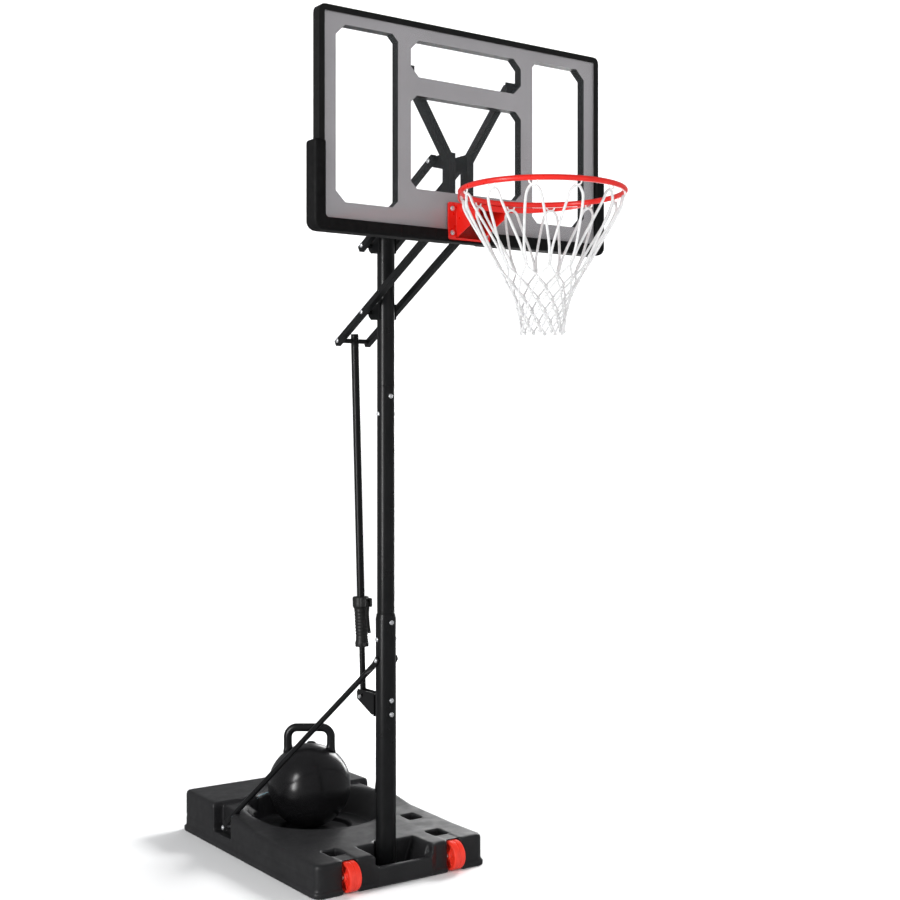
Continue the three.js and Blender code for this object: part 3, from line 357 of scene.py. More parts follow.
def mesh_object(name, vertices, faces, material, sharp=35):
    mesh = bpy.data.meshes.new(name)
    mesh.from_pydata([tuple(c * MM for c in v) for v in vertices], [], faces)
    mesh.validate()
    work = bmesh.new()
    work.from_mesh(mesh)
    bmesh.ops.remove_doubles(work, verts=work.verts, dist=1e-6)
    bmesh.ops.recalc_face_normals(work, faces=work.faces)
    work.to_mesh(mesh)
    work.free()
    mesh.shade_smooth()
    mesh.set_sharp_from_angle(angle=math.radians(sharp))
    mesh.materials.append(material)
    made = bpy.data.objects.new(name, mesh)
    bpy.context.scene.collection.objects.link(made)
    return made


def stand_for(node, shape, material, sharp=35, suffix="shape"):
    """A piece that takes the place of a CAD node, on its body and with its slot."""
    made = mesh_object(f"{node}_{suffix}", *shape, material, sharp)
    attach(made, BODY[node])
    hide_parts(node)
    return made


def relax(made, rounds):
    """Smooths away the steps of the grid that the piece was measured on."""
    smooth = made.modifiers.new("relax", "SMOOTH")
    smooth.factor = 0.5
    smooth.iterations = rounds


def keep(node, material, width, segments=3):
    """A CAD node that stays, with its edges rounded off by that width in millimetres."""
    shown = NODES[node]
    mesh = shown.data
    mesh.materials.clear()
    mesh.materials.append(material)
    if "custom_normal" in mesh.attributes:
        mesh.attributes.remove(mesh.attributes["custom_normal"])
    mesh.shade_smooth()
    weld = shown.modifiers.new("weld", "WELD")
    weld.merge_threshold = 0.01 * MM
    flats = shown.modifiers.new("flats", "DECIMATE")
    flats.decimate_type = "DISSOLVE"
    flats.angle_limit = math.radians(1.5)
    bevel = shown.modifiers.new("edges", "BEVEL")
    bevel.limit_method = "ANGLE"
    bevel.angle_limit = math.radians(32)
    bevel.width = width * MM
    bevel.segments = segments
    bevel.use_clamp_overlap = True
    normals = shown.modifiers.new("normals", "WEIGHTED_NORMAL")
    normals.keep_sharp = True


# ---------------------------------------------------------------- materials


class Shader:
    """A Principled material whose nodes read the object's own coordinates, in metres in the frame."""

    def __init__(self, name):
        self.material = bpy.data.materials.new(name)
        self.material.use_nodes = True
        self.tree = self.material.node_tree
        self.surface = self.tree.nodes["Principled BSDF"]
        self.place = self.tree.nodes.new("ShaderNodeTexCoord").outputs["Object"]

    def set(self, **values):
        for name, value in values.items():
            self.surface.inputs[name.replace("_", " ")].default_value = value

    def noise(self, scale, detail=3.0):
        node = self.tree.nodes.new("ShaderNodeTexNoise")
        node.inputs["Scale"].default_value = scale
        node.inputs["Detail"].default_value = detail
        node.inputs["Roughness"].default_value = 0.5
        self.tree.links.new(self.place, node.inputs["Vector"])
        return node.outputs["Fac"]

    def cells(self, scale):
        node = self.tree.nodes.new("ShaderNodeTexVoronoi")
        node.feature = "SMOOTH_F1"
        node.inputs["Scale"].default_value = scale
        self.tree.links.new(self.place, node.inputs["Vector"])
        return node.outputs["Distance"]

    def ranged(self, value, low, high, start=0.3, end=0.7):
        node = self.tree.nodes.new("ShaderNodeMapRange")
        node.inputs["From Min"].default_value = start
        node.inputs["From Max"].default_value = end
        node.inputs["To Min"].default_value = low
        node.inputs["To Max"].default_value = high
        self.tree.links.new(value, node.inputs["Value"])
        return node.outputs["Result"]

    def tones(self, value, dark, light, start=0.3, end=0.7):
        node = self.tree.nodes.new("ShaderNodeValToRGB")
        node.color_ramp.elements[0].position = start
        node.color_ramp.elements[1].position = end
        node.color_ramp.elements[0].color = (*dark, 1)
        node.color_ramp.elements[1].color = (*light, 1)
        self.tree.links.new(value, node.inputs["Fac"])
        return node.outputs["Color"]

    def mixed(self, share, under, over):
        node = self.tree.nodes.new("ShaderNodeMix")
        node.data_type = "RGBA"
        self.tree.links.new(share, node.inputs[0])
        self.tree.links.new(under, node.inputs[6])
        node.inputs[7].default_value = (*over, 1)
        return node.outputs[2]

    def colour(self, value):
        self.tree.links.new(value, self.surface.inputs["Base Color"])

    def roughness(self, value):
        self.tree.links.new(value, self.surface.inputs["Roughness"])

    def bump(self, height, strength, distance, under=None):
        node = self.tree.nodes.new("ShaderNodeBump")
        node.inputs["Strength"].default_value = strength
        node.inputs["Distance"].default_value = distance * MM
        self.tree.links.new(height, node.inputs["Height"])
        if under:
            self.tree.links.new(under, node.inputs["Normal"])
        self.tree.links.new(node.outputs["Normal"], self.surface.inputs["Normal"])
        return node.outputs["Normal"]

    def edges(self, start, end):
        """How far a point is on an outer edge of a fine mesh, from 0 to 1."""
        node = self.tree.nodes.new("ShaderNodeNewGeometry")
        return self.ranged(node.outputs["Pointiness"], 0.0, 1.0, start, end)


def studio_floor():
    s = Shader("studio_floor")
    s.colour(s.tones(s.noise(0.4), (0.86, 0.865, 0.87), (0.88, 0.88, 0.88)))
    s.set(Roughness=0.6, Specular_IOR_Level=0.0, Emission_Color=(1.0, 1.0, 1.0, 1.0))
    # it glows more with distance, where the lights fall off, and hardly at all under the hoop
    away = s.tree.nodes.new("ShaderNodeVectorMath")
    away.operation = "LENGTH"
    s.tree.links.new(s.place, away.inputs[0])
    glow = s.ranged(away.outputs["Value"], 0.02, 0.56, 1.2, 7.0)
    s.tree.links.new(glow, s.surface.inputs["Emission Strength"])
    return s.material


def black_paint():
    """Powder coat: an orange-peel surface with a few dull scuffs."""
    s = Shader("black_paint")
    s.colour(s.tones(s.noise(14), (0.0042, 0.0044, 0.0048), (0.0062, 0.0064, 0.0068)))
    s.roughness(s.ranged(s.noise(30, 3), 0.27, 0.34))
    peel = s.bump(s.noise(900, 2), 0.06, 0.10)
    s.bump(s.noise(160, 1), 0.02, 0.2, peel)
    s.set(Specular_IOR_Level=0.34)
    return s.material


def tank_plastic():
    """Blow-moulded polyethylene: pebbled, slightly wavy, and paler where its edges are rubbed."""
    s = Shader("tank_plastic")
    body = s.tones(s.noise(7, 4), (0.010, 0.010, 0.011), (0.015, 0.015, 0.016))
    rubbed = s.edges(0.52, 0.62)
    s.colour(s.mixed(rubbed, body, (0.032, 0.032, 0.034)))
    s.roughness(s.ranged(s.noise(24, 5), 0.36, 0.48))
    wave = s.bump(s.noise(9, 2), 0.16, 3.0)
    s.bump(s.cells(620), 0.12, 0.2, wave)
    s.set(Specular_IOR_Level=0.45)
    return s.material


# name: colour's grain, dark and light tone, roughness's grain and range, bump, other settings.
# A grain is (scale, detail); a bump is (pattern, its grain, strength, depth in millimetres).
FINISHES = {
    # the coat on the board's brackets: a little paler, rougher and more pebbled than the pole's
    "bracket_paint": (
        (18,), (0.006, 0.0062, 0.0067), (0.010, 0.0102, 0.0107), (70, 6), (0.34, 0.50),
        ("noise", (900, 2), 0.14, 0.12), {"Specular_IOR_Level": 0.5},
    ),
    # smooth printed film under the clear sheet
    "grey_print": (
        (3, 2), (0.262, 0.252, 0.262), (0.292, 0.281, 0.291), (30, 4), (0.16, 0.24),
        ("noise", (500, 2), 0.03, 0.05), {"Coat_Weight": 0.8, "Coat_Roughness": 0.06},
    ),
    "clear_sheet": (
        (2,), (0.18, 0.20, 0.21), (0.22, 0.24, 0.25), (12, 4), (0.03, 0.09), None, {"Alpha": 0.035},
    ),
    "red_paint": (
        (16,), (0.61, 0.008, 0.004), (0.70, 0.012, 0.006), (60, 5), (0.26, 0.40),
        ("noise", (850, 2), 0.12, 0.12), {"Coat_Weight": 0.2, "Coat_Roughness": 0.16},
    ),
    "wheel_plastic": (
        (26, 4), (0.70, 0.024, 0.010), (0.80, 0.036, 0.016), (80, 5), (0.34, 0.5),
        ("cells", (900,), 0.15, 0.12), {},
    ),
    # plated steel with fine turned marks and a faint bloom
    "zinc": (
        (220, 4), (0.66, 0.67, 0.69), (0.82, 0.83, 0.85), (400, 4), (0.2, 0.36),
        ("noise", (1400, 2), 0.08, 0.05), {"Metallic": 0.75},
    ),
    "clip_plastic": (
        (120, 3), (0.72, 0.70, 0.69), (0.82, 0.80, 0.79), (90,), (0.3, 0.42),
        ("noise", (700,), 0.08, 0.08), {},
    ),
    # glossy moulded vinyl with faint flow marks
    "ball_plastic": (
        (10, 4), (0.0045, 0.0045, 0.005), (0.0075, 0.0075, 0.008), (22, 5), (0.22, 0.27),
        ("noise", (8, 1), 0.03, 1.2), {"Specular_IOR_Level": 0.5},
    ),
    "ballast_water": (
        (5,), (0.22, 0.36, 0.42), (0.30, 0.46, 0.52), (12,), (0.04, 0.12), ("noise", (30,), 0.1, 1.0), {},
    ),
    "sand": (
        (900, 4), (0.38, 0.28, 0.16), (0.62, 0.50, 0.32), (400,), (0.8, 0.95),
        ("noise", (1200, 3), 0.6, 0.4), {},
    ),
}


def surfaced(name, grain, dark, light, rough_grain, rough, bump, settings):
    """A material with uneven colour and roughness and at most one fine bump."""
    s = Shader(name)
    s.colour(s.tones(s.noise(*grain), dark, light))
    s.roughness(s.ranged(s.noise(*rough_grain), *rough))
    if bump:
        pattern, fine_grain, strength, depth = bump
        s.bump((s.cells if pattern == "cells" else s.noise)(*fine_grain), strength, depth)
    s.set(**settings)
    return s.material


def finish(name):
    return surfaced(name, *FINISHES[name])


def moulded_black(name="moulded_black", dark=0.008, light=0.012, rough=(0.36, 0.5)):
    bump = ("cells", (1100,), 0.18, 0.12)
    settings = {"Specular_IOR_Level": 0.4}
    return surfaced(name, (20, 4), (dark,) * 3, (light,) * 3, (60, 5), rough, bump, settings)


def foam():
    """Skinned foam: matt, with fine closed cells and a soft uneven surface."""
    s = Shader("pad_foam")
    s.colour(s.tones(s.noise(30, 5), (0.0022, 0.0022, 0.0024), (0.0040, 0.0040, 0.0042)))
    s.roughness(s.ranged(s.noise(45, 4), 0.58, 0.74))
    soft = s.bump(s.noise(38, 3), 0.25, 1.0)
    s.bump(s.cells(1500), 0.35, 0.18, soft)
    s.set(Specular_IOR_Level=0.25)
    return s.material


def white_cord():
    """Braided nylon: the strands wind round the cord as fine ridges."""
    s = Shader("white_cord")
    s.colour(s.tones(s.noise(90, 4), (0.56, 0.56, 0.565), (0.69, 0.69, 0.69)))
    s.roughness(s.ranged(s.noise(200, 3), 0.62, 0.8))
    node = s.tree.nodes.new("ShaderNodeTexWave")
    node.bands_direction = "DIAGONAL"
    node.inputs["Scale"].default_value = 240
    s.tree.links.new(s.place, node.inputs["Vector"])
    s.bump(node.outputs["Fac"], 0.5, 0.35)
    s.set(Sheen_Weight=0.2, Sheen_Roughness=0.4)
    return s.material


# ---------------------------------------------------------------- base

LIP = {"inset": 7, "height": 18}
# the roof's height at each distance behind the pole
ROOF = [
    (-200, 107), (60, 107), (335, 115), (445, 132), (505, 138), (638, 138), (646, 150), (881, 150),
    (895, 138),
]
DISH = {
    "y": 470, "seat_radius": 118, "seat": 43.5, "floor_radius": 200, "floor": 56, "slope": 68 / 48,
    "wall": 225, "edge": 20,
}
REAR_BLOCK = 640
RECESS = ((212, 172, 74), (262, 236, 300))  # on the right side only
FILL = {"roof": 150, "collar": 32, "mouth": 24, "cap_height": 11, "plug": 23, "depth": 22}
PARTING = {"height": 58, "half": 1.6, "depth": 11}
POCKET = {"narrow": 78, "wide": 112, "front": -97, "rear": 8, "floor": 15}
WHEEL_ROOM = {"inner": 178, "outer": 232, "rear": -42.5, "top": 103}
TANK_STEP = 4.0


def tank_body(at):
    low, high = box_mm("base_tank")
    x, y, z = at
    lip = LIP["inset"]
    skirt = np.maximum(plan_field(at, (low.x, low.y + 6), (high.x, high.y), 30), z - LIP["height"])
    wall = plan_field(at, (low.x + lip, low.y + 6 + lip), (high.x - lip, high.y - lip), 26)
    roof = z - np.interp(y, *zip(*ROOF)).astype(np.float32)
    body = -melt(-wall, -roof, 16)
    nose = np.maximum(abs(x) - 105 - (y - low.y) * 1.76, low.y - y)
    nose = np.maximum(nose, np.maximum(y + 80, abs(z - 55) - 49))
    body = melt(melt(body, skirt, 8), nose, 5)
    return np.maximum(body, -z)


def dish_tools(at):
    x, y, z = at
    away = np.sqrt(x**2 + (y - DISH["y"]) ** 2)
    heights = [
        (0, DISH["seat"]), (DISH["seat_radius"], DISH["seat"]), (DISH["seat_radius"] + 9, DISH["floor"]),
        (DISH["floor_radius"], DISH["floor"]),
        (DISH["floor_radius"] + 200, DISH["floor"] + 200 * DISH["slope"]),
    ]
    bowl = np.interp(away, *zip(*heights)).astype(np.float32) - z
    bowl = np.where(away > DISH["floor_radius"], bowl / math.hypot(1, DISH["slope"]), bowl)
    ahead = np.maximum(bowl, y - REAR_BLOCK)
    behind = np.maximum(np.maximum(away - DISH["wall"], DISH["floor"] - z), REAR_BLOCK - 60 - y)
    return melt(ahead, behind, 6)


def pole_pocket(at):
    x, y, z = at
    wide = np.interp(z, (POCKET["floor"], 107), (POCKET["narrow"], POCKET["wide"])).astype(np.float32)
    pocket = np.maximum(abs(x) - wide, np.maximum(POCKET["front"] - y, y - POCKET["rear"]))
    pocket = np.maximum(pocket, POCKET["floor"] - z)
    pole_radius = box_mm("pole_lower")[1].x
    round_room = drum_field(at, (0, 0), pole_radius + 6, POCKET["floor"], 400)
    dip_wide = np.interp(z, (66, 78), (98, POCKET["wide"])).astype(np.float32)
    dip = np.maximum(np.maximum(abs(x) - dip_wide, 66 - z), y + 90)
    return melt(melt(pocket, round_room, 4), dip, 4)


def side_rooms(at):
    """The wheel wells, the pockets behind them and the notches for the struts, on both sides at once."""
    mirrored = (abs(at[0]), at[1], at[2])
    inner, outer, rear = WHEEL_ROOM["inner"], WHEEL_ROOM["outer"], WHEEL_ROOM["rear"]
    well = box_field(mirrored, (inner, -300, -60), (outer, rear, WHEEL_ROOM["top"]), 3)
    pocket = box_field(mirrored, (inner, -34, 50), (outer, 30, 300), 5)
    notch = box_field(mirrored, (288, 505, 50), (420, REAR_BLOCK, 300), 5)
    return [well, pocket, notch, box_field(at, *RECESS, 5)]


def build_tank():
    low, high = box_mm("base_tank")
    at = grid(low, high, TANK_STEP)
    field = tank_body(at)
    field = carve(field, dish_tools(at), DISH["edge"])
    field = carve(field, pole_pocket(at), 6)
    for room in side_rooms(at):
        field = carve(field, room, 6)
    y = middle_mm("base_fill_cap").y
    roof = FILL["roof"]
    field = melt(field, drum_field(at, (0, y), FILL["collar"], roof - 20, high.z), 3)
    field = carve(field, drum_field(at, (0, y), FILL["mouth"], roof - 28, roof + 60), 3)
    # a shallow groove along the parting line of the mould
    skin_depth = plan_field(at, (low.x, low.y), (high.x, high.y), 26) + PARTING["depth"]
    groove = np.maximum(abs(at[2] - PARTING["height"]) - PARTING["half"], -skin_depth)
    field = carve(field, groove, 2)
    field = np.maximum(field, -at[2])
    relax(stand_for("base_tank", surface_of(field, at, TANK_STEP), tank_plastic(), 180), 2)


def wheel_shape(node):
    low, high = box_mm(node)
    middle = middle_mm(node)
    half = (high.x - low.x) / 2
    radius = (high.z - low.z) / 2
    bore, hub, tread = 5.3, 15, radius - 1.2
    # one half of the section, from the tread's groove over the rim, the web and the hub to the bore
    right = [
        (tread, 1.5), (radius, 3), (radius, half - 6), (radius - 3, half), (radius - 9, half),
        (radius - 12, half - 8), (hub + 2, half - 8), (hub, half), (bore, half),
    ]
    profile = [(r, -x) for r, x in reversed(right)] + right
    shapes = [turned(profile, middle, (1, 0, 0), 96, 1.6)]
    for side in (-1, 1):
        for k in range(6):
            angle = math.pi * k / 3
            spoke = Vector((0, math.cos(angle), math.sin(angle)))
            start = middle + Vector((side * (half - 6.5), 0, 0))
            path = [start + spoke * r for r in (hub, radius - 10.5)]
            section = eased([(-2, -2.4), (2, -2.4), (2, 2.4), (-2, 2.4)], 0.6)
            shapes.append(swept(path, section, (1, 0, 0)))
    return joined(*shapes)


def cap_shape(base, axis, radius, height, plug, depth, knurls):
    """A screw cap with a ribbed rim; base is the centre of its seat."""
    rim = radius - 1.2
    profile = [
        (0, -depth), (plug, -depth), (plug, 0), (rim, 0), (rim, height - 2), (radius - 4, height),
        (0, height),
    ]
    body = turned(profile, base, axis, 96, 0.8)
    turn = Vector((0, 0, 1)).rotation_difference(Vector(axis)).to_matrix()
    ribs = []
    for k in range(knurls):
        angle = 2 * math.pi * k / knurls
        out = turn @ Vector((math.cos(angle), math.sin(angle), 0))
        start = Vector(base) + out * (radius - 1.4)
        path = [start + Vector(axis) * d for d in (0.4, 1.0, height - 3, height - 2.4)]
        sizes = (0.5, 1.2, 1.2, 0.5)
        ribs.append(swept(path, lambda i, sizes=sizes: circle(sizes[i], 8), out))
    return body, ribs


def wing_section(i):
    """The grip across the cap, which is thinner and lower at its two ends."""
    foot, ridge, top = (5, 3.6, 9) if i in (1, 2) else (3.2, 2.2, 5)
    return eased([(-foot, -5), (foot, -5), (ridge, top), (-ridge, top)], 1.5)


def build_fill_cap():
    base = Vector((0, middle_mm("base_fill_cap").y, box_mm("base_fill_cap")[0].z + FILL["depth"]))
    body, ribs = cap_shape(
        base, Vector((0, 0, 1)), FILL["collar"], FILL["cap_height"], FILL["plug"], FILL["depth"], 40
    )
    wing = swept([base + Vector((x, 0, 13)) for x in (-24, -22, 22, 24)], wing_section)
    stand_for("base_fill_cap", joined(body, wing, *ribs), moulded_black("cap_plastic"))


# ---------------------------------------------------------------- pole and fasteners


def tube_shape(rows, segments=72, ease=0.5):
    """An upright tube about the pole's axis; rows are (height, outer radius, bore)."""
    outside = [(outer, z) for z, outer, _ in rows]
    inside = [(bore, z) for z, _, bore in reversed(rows)]
    return turned(outside + inside, (0, 0, 0), (0, 0, 1), segments, ease)


POLE = {"wall": 2.5, "gap": 0.3, "plug": 18}


def build_pole(paint, plastic):
    low, high = box_mm("pole_lower")
    radius = high.x
    middle = box_mm("pole_middle")
    slim = middle[1].x
    wall, gap, plug_depth = POLE["wall"], POLE["gap"], POLE["plug"]
    neck = slim + gap
    stand_for("pole_lower", tube_shape([
        (low.z, radius, radius - wall), (high.z - 16, radius, radius - wall),
        (high.z - 7, neck + wall, neck), (high.z, neck + wall - 0.4, neck),
    ], ease=2.0), paint)
    stand_for("pole_middle", tube_shape([
        (middle[0].z, slim, slim - wall), (middle[1].z, slim, slim - wall),
    ], ease=0.8), paint)
    upper = box_mm("pole_upper")
    plug = slim - wall - gap
    start = middle[1].z + gap
    stand_for("pole_upper", tube_shape([
        (upper[0].z, plug, plug - wall), (start, plug, plug - wall), (start + 0.01, slim, plug - wall),
        (upper[1].z, slim, plug - wall),
    ], ease=0.8), paint)
    for node, way in (("pole_foot_cap", -1), ("pole_top_cap", 1)):
        bottom, top = box_mm(node)
        seat = bottom.z + plug_depth if way > 0 else top.z - plug_depth
        end = top.z if way > 0 else bottom.z
        inside = (plug if way > 0 else top.x) - wall - gap
        rise = end - seat
        stand_for(node, turned([
            (0, -plug_depth * way), (inside, -plug_depth * way), (inside, 0), (top.x, 0),
            (top.x, rise * 0.45), (top.x * 0.86, rise), (0, rise),
        ], (0, 0, seat), (0, 0, 1), 72, 1.2), plastic)


def hexagon_nut(centre, axis, across, height):
    """A chamfered hexagon nut beyond centre, with the bolt's end showing; across is its corners' radius."""
    direction = Vector(axis)
    _, side, upper = frames_along([Vector(centre), Vector(centre) + direction], (0.2, 0.3, 1))[0]
    rings = []
    for along, size in ((0, 0.97), (height * 0.1, 1.0), (height * 0.72, 1.0), (height * 0.9, 0.9)):
        at = Vector(centre) + direction * along
        rings.append([at + side * (u * size) + upper * (v * size) for u, v in circle(across, 6)])
    end = turned([(0, 0), (3.4, 0), (3.4, height * 0.9), (2.6, height), (0, height)], centre, axis, 24, 0.4)
    return joined(skin(rings), end)


def dome_head(face, axis, radius, height):
    """A low dome whose flat side is at face; axis points out of the head."""
    profile = [(0, 0), (radius, 0), (radius, height * 0.16)]
    for k in range(1, 7):
        a = k / 6 * math.pi / 2
        profile.append((radius * math.cos(a), height * (0.16 + 0.84 * math.sin(a))))
    profile[-1] = (0, height)
    return turned(profile, face, axis, 40, 0.25)


BOLT_HEAD = {"radius": 8, "height": 5, "shank": 4, "cross_shank": 5}


def through_bolt(node, head_side=-1, nut=True):
    """A bolt along the longest side of its node's box, with its dome on the head side."""
    low, high = box_mm(node)
    size = high - low
    axis = max(range(3), key=lambda i: size[i])
    out = Vector([head_side * (i == axis) for i in range(3)])
    middle = (low + high) / 2
    head_face = middle + out * (size[axis] / 2 - BOLT_HEAD["height"])
    far = middle - out * (size[axis] / 2 - (BOLT_HEAD["height"] if nut else 0))
    shank = pin(head_face, -out, BOLT_HEAD["shank"], 0, (far - head_face).length, 32, 0.3)
    shapes = [shank, dome_head(head_face, out, BOLT_HEAD["radius"], BOLT_HEAD["height"])]
    if nut:
        shapes.append(hexagon_nut(far, -out, BOLT_HEAD["radius"] * 0.85, BOLT_HEAD["height"]))
    return joined(*shapes)


def cross_bolt(node):
    """A bolt across the linkage with the same dome at both ends."""
    middle = middle_mm(node)
    radius, height = BOLT_HEAD["radius"], BOLT_HEAD["height"]
    face = box_mm(node)[1].x - height
    shank = pin(middle, (1, 0, 0), BOLT_HEAD["cross_shank"], -face, face, 32, 0.3)
    heads = [
        dome_head(middle + Vector((side * face, 0, 0)), (side, 0, 0), radius, height) for side in (-1, 1)
    ]
    return joined(shank, *heads)


def spacers(node, spans, material):
    """Black tubes on a cross bolt, between the parts that it joins."""
    middle = middle_mm(node)
    tubes = [sleeve(middle, (1, 0, 0), 5.1, 8, start, end, 40, 0.6) for start, end in spans]
    made = mesh_object(f"{node}_spacers", *joined(*tubes), material)
    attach(made, BODY[node])


def build_fasteners(metal, paint):
    for node in (
        "lower_joint_bolt_front", "lower_joint_bolt_side", "upper_joint_bolt_front",
        "upper_joint_bolt_side", "strut_pole_bolt", "lift_bracket_bolt_upper", "lift_bracket_bolt_lower",
    ):
        stand_for(node, through_bolt(node), metal)
    stand_for("left_strut_bolt", through_bolt("left_strut_bolt", -1, nut=False), metal)
    stand_for("right_strut_bolt", through_bolt("right_strut_bolt", 1, nut=False), metal)
    for k in range(1, 5):
        node = f"rim_bolt_{k}"
        low, high = box_mm(node)
        face = low.y + BOLT_HEAD["height"]
        seat = ((low.x + high.x) / 2, face, (low.z + high.z) / 2)
        shank = pin(seat, (0, 1, 0), BOLT_HEAD["shank"], 0, high.y - face, 32)
        head = dome_head(seat, (0, -1, 0), BOLT_HEAD["radius"], BOLT_HEAD["height"])
        stand_for(node, joined(shank, head), metal)
    # each cross bolt's spacers as spans along X, the outer ones ending at the arms
    outer = -box_mm("left_lower_arm")[1].x - 0.6
    cross = {
        "lower_pivot_bolt": [(-outer, -34.8), (34.8, outer)],
        "upper_pivot_bolt": [(-outer, -34.8), (34.8, outer)],
        "rear_pin": [(-outer, -14.2), (14.2, outer)],
        "lower_front_bolt": [(-21.5, 21.5), (-outer, -47.5), (47.5, outer)],
        "upper_front_bolt": [(-21.5, 21.5), (-outer, -47.5), (47.5, outer)],
    }
    for node, spans in cross.items():
        stand_for(node, cross_bolt(node), metal)
        spacers(node, spans, paint)
    for side in ("left", "right"):
        node = f"{side}_wheel_axle"
        low, high = box_mm(node)
        half, thick = (high.x - low.x) / 2, (high.z - low.z) / 2
        stand_for(node, pin(middle_mm(node), (1, 0, 0), thick, -half, half, 40, 0.8), metal)


STRUT = {"radius": 9.5, "tab": 12, "thin": 2.0, "head": (38, 0, 720), "foot": (316, 580, 74)}


def strut_shape(side):
    """A round tube that is pressed flat at both ends, where its bolts hold it."""
    foot, head = (Vector((side * x, y, z)) for x, y, z in (STRUT["foot"], STRUT["head"]))
    tab = Vector((0, head.y - foot.y, head.z - foot.z)).normalized()
    foot_bend, head_bend = foot + tab * 26, head - tab * 26
    along = (head_bend - foot_bend).normalized()
    rings = []

    def ring(centre, direction, wide, thin):
        wide_axis = Vector((1, 0, 0)).cross(direction).normalized()
        thin_axis = direction.cross(wide_axis).normalized()
        outline = []
        for k in range(28):
            angle = 2 * math.pi * k / 28
            # nearly a rectangle where it is flat, and round where it is a tube
            power = 0.45 + 0.55 * thin / wide
            u = math.copysign(abs(math.cos(angle)) ** power, math.cos(angle))
            v = math.copysign(abs(math.sin(angle)) ** power, math.sin(angle))
            outline.append(centre + wide_axis * (wide * u) + thin_axis * (thin * v))
        rings.append(outline)

    wide, thin, radius = STRUT["tab"], STRUT["thin"], STRUT["radius"]
    for distance, share in ((-13, 0.45), (-11.5, 0.72), (-9, 0.92), (-6, 1.0)):
        ring(foot + tab * distance, tab, wide * share, thin)
    for bend, way in ((foot_bend, 1), (head_bend, -1)):
        steps = [k / 8 for k in range(9)]
        for t in steps if way > 0 else reversed(steps):
            blend = t * t * (3 - 2 * t)
            direction = tab.lerp(along, min(1, t * 1.5)).normalized()
            place = bend + along * (way * 45 * t)
            ring(place, direction, wide + (radius - wide) * blend, thin + (radius - thin) * blend)
    for distance, share in ((6, 1.0), (9, 0.92), (11.5, 0.72), (13, 0.45)):
        ring(head + tab * distance, tab, wide * share, thin)
    return skin(rings)


# ---------------------------------------------------------------- board, rim and net


def build_pad():
    """The foam bumper: a U-shaped block with soft edges, pulled in along its length by moulded grooves."""
    low, high = box_mm("board_pad")
    step = 3.0
    at = grid(low, high, step)
    x, y, z = at
    block = box_field(at, low, high, 9)
    corner = plan_field((x, z), (low.x, low.z), (high.x, high.z + 80), 34)
    field = np.maximum(block, corner)
    board_low, board_high = box_mm("board_trim")
    slot_low, slot_high = board_low - Vector((0.6, 0.6, 0.6)), board_high + Vector((0.6, 3, 60))
    slot = plan_field((x, z), (slot_low.x, slot_low.z), (slot_high.x, slot_high.z), 20)
    slot = np.maximum(slot, np.maximum(slot_low.y - y, y - slot_high.y))
    field = carve(field, slot, 1.5)
    sight = box_field(at, (-512, low.y - 40, low.z + 39), (512, high.y + 40, high.z + 60), 10)
    field = carve(field, sight, 8)
    plate_low, plate_high = box_mm("rim_bracket")
    plate_room = ((plate_low.x - 2, low.y - 40, plate_low.z - 2), (plate_high.x + 2, board_low.y, high.z))
    field = carve(field, box_field(at, *plate_room, 2), 5)
    rear = box_field(at, (-50, board_high.y - 3, low.z - 20), (50, high.y + 20, high.z), 2)
    field = carve(field, rear, 5)
    # moulded grooves across the front of the lower edge
    for place in range(-500, 501, 125):
        if abs(place) > plate_high.x + 20:
            line = np.sqrt((x - place) ** 2 + (y - low.y + 1.2) ** 2 + 0 * z) - 3.2
            field = carve(field, line, 3)
    pad = stand_for("board_pad", surface_of(field, at, step), foam(), 180)
    relax(pad, 2)


RING = {"rod": 8, "hooks": 12, "hook_wire": 2.4}
BRACE = {"reach": 75, "end": 2, "drop": 16, "thickness": 4.5}


def ring_centre():
    low, high = box_mm("rim_ring")
    line = (high.x - low.x) / 2 - RING["rod"]
    return Vector((0, low.y + line + RING["rod"], high.z - RING["rod"])), line


def hook_angles():
    return [(k + 0.5) / RING["hooks"] * 2 * math.pi for k in range(RING["hooks"])]


def build_ring(paint, plastic):
    centre, line = ring_centre()
    path = [
        centre + Vector((line * math.cos(a), line * math.sin(a), 0))
        for a in np.linspace(0, 2 * math.pi, 144, endpoint=False)
    ]
    stand_for("rim_ring", swept(path, circle(RING["rod"], 24), closed=True), paint)
    hooks = []
    for angle in hook_angles():
        along = Vector((-math.sin(angle), math.cos(angle), 0))
        out = Vector((math.cos(angle), math.sin(angle), 0))
        top = centre + out * line + Vector((0, 0, -RING["rod"] + 1.5))
        wire = [top + along * 12, top + along * 10.5 + Vector((0, 0, -7))]
        for a in np.linspace(0.5, 2.64, 8):
            wire.append(top + along * (10 * math.cos(a)) + Vector((0, 0, -4.5 - 7 * math.sin(a))))
        wire += [top - along * 10.5 + Vector((0, 0, -7)), top - along * 12]
        hooks.append(swept(wire, circle(RING["hook_wire"], 10), out))
    made = mesh_object("rim_hooks", *joined(*hooks), plastic)
    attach(made, BODY["rim_ring"])


def build_brace(paint):
    """The crescent of sheet steel under the back of the ring."""
    centre, line = ring_centre()
    top = box_mm("rim_brace")[1].z
    far = line + RING["rod"]
    rings = []
    count = 72
    for k in range(count + 1):
        share = 2 * k / count - 1
        angle = math.pi / 2 + share * math.radians(BRACE["reach"])
        depth = BRACE["end"] + BRACE["drop"] * (1 - share * share)
        near = far - BRACE["thickness"]
        outline = eased([(near, 0), (far, 0), (far, -depth), (near, -depth)], 0.9, 3)
        out = Vector((math.cos(angle), math.sin(angle), 0))
        rings.append([Vector((centre.x, centre.y, top + z)) + out * r for r, z in outline])
    stand_for("rim_brace", skin(rings), paint)


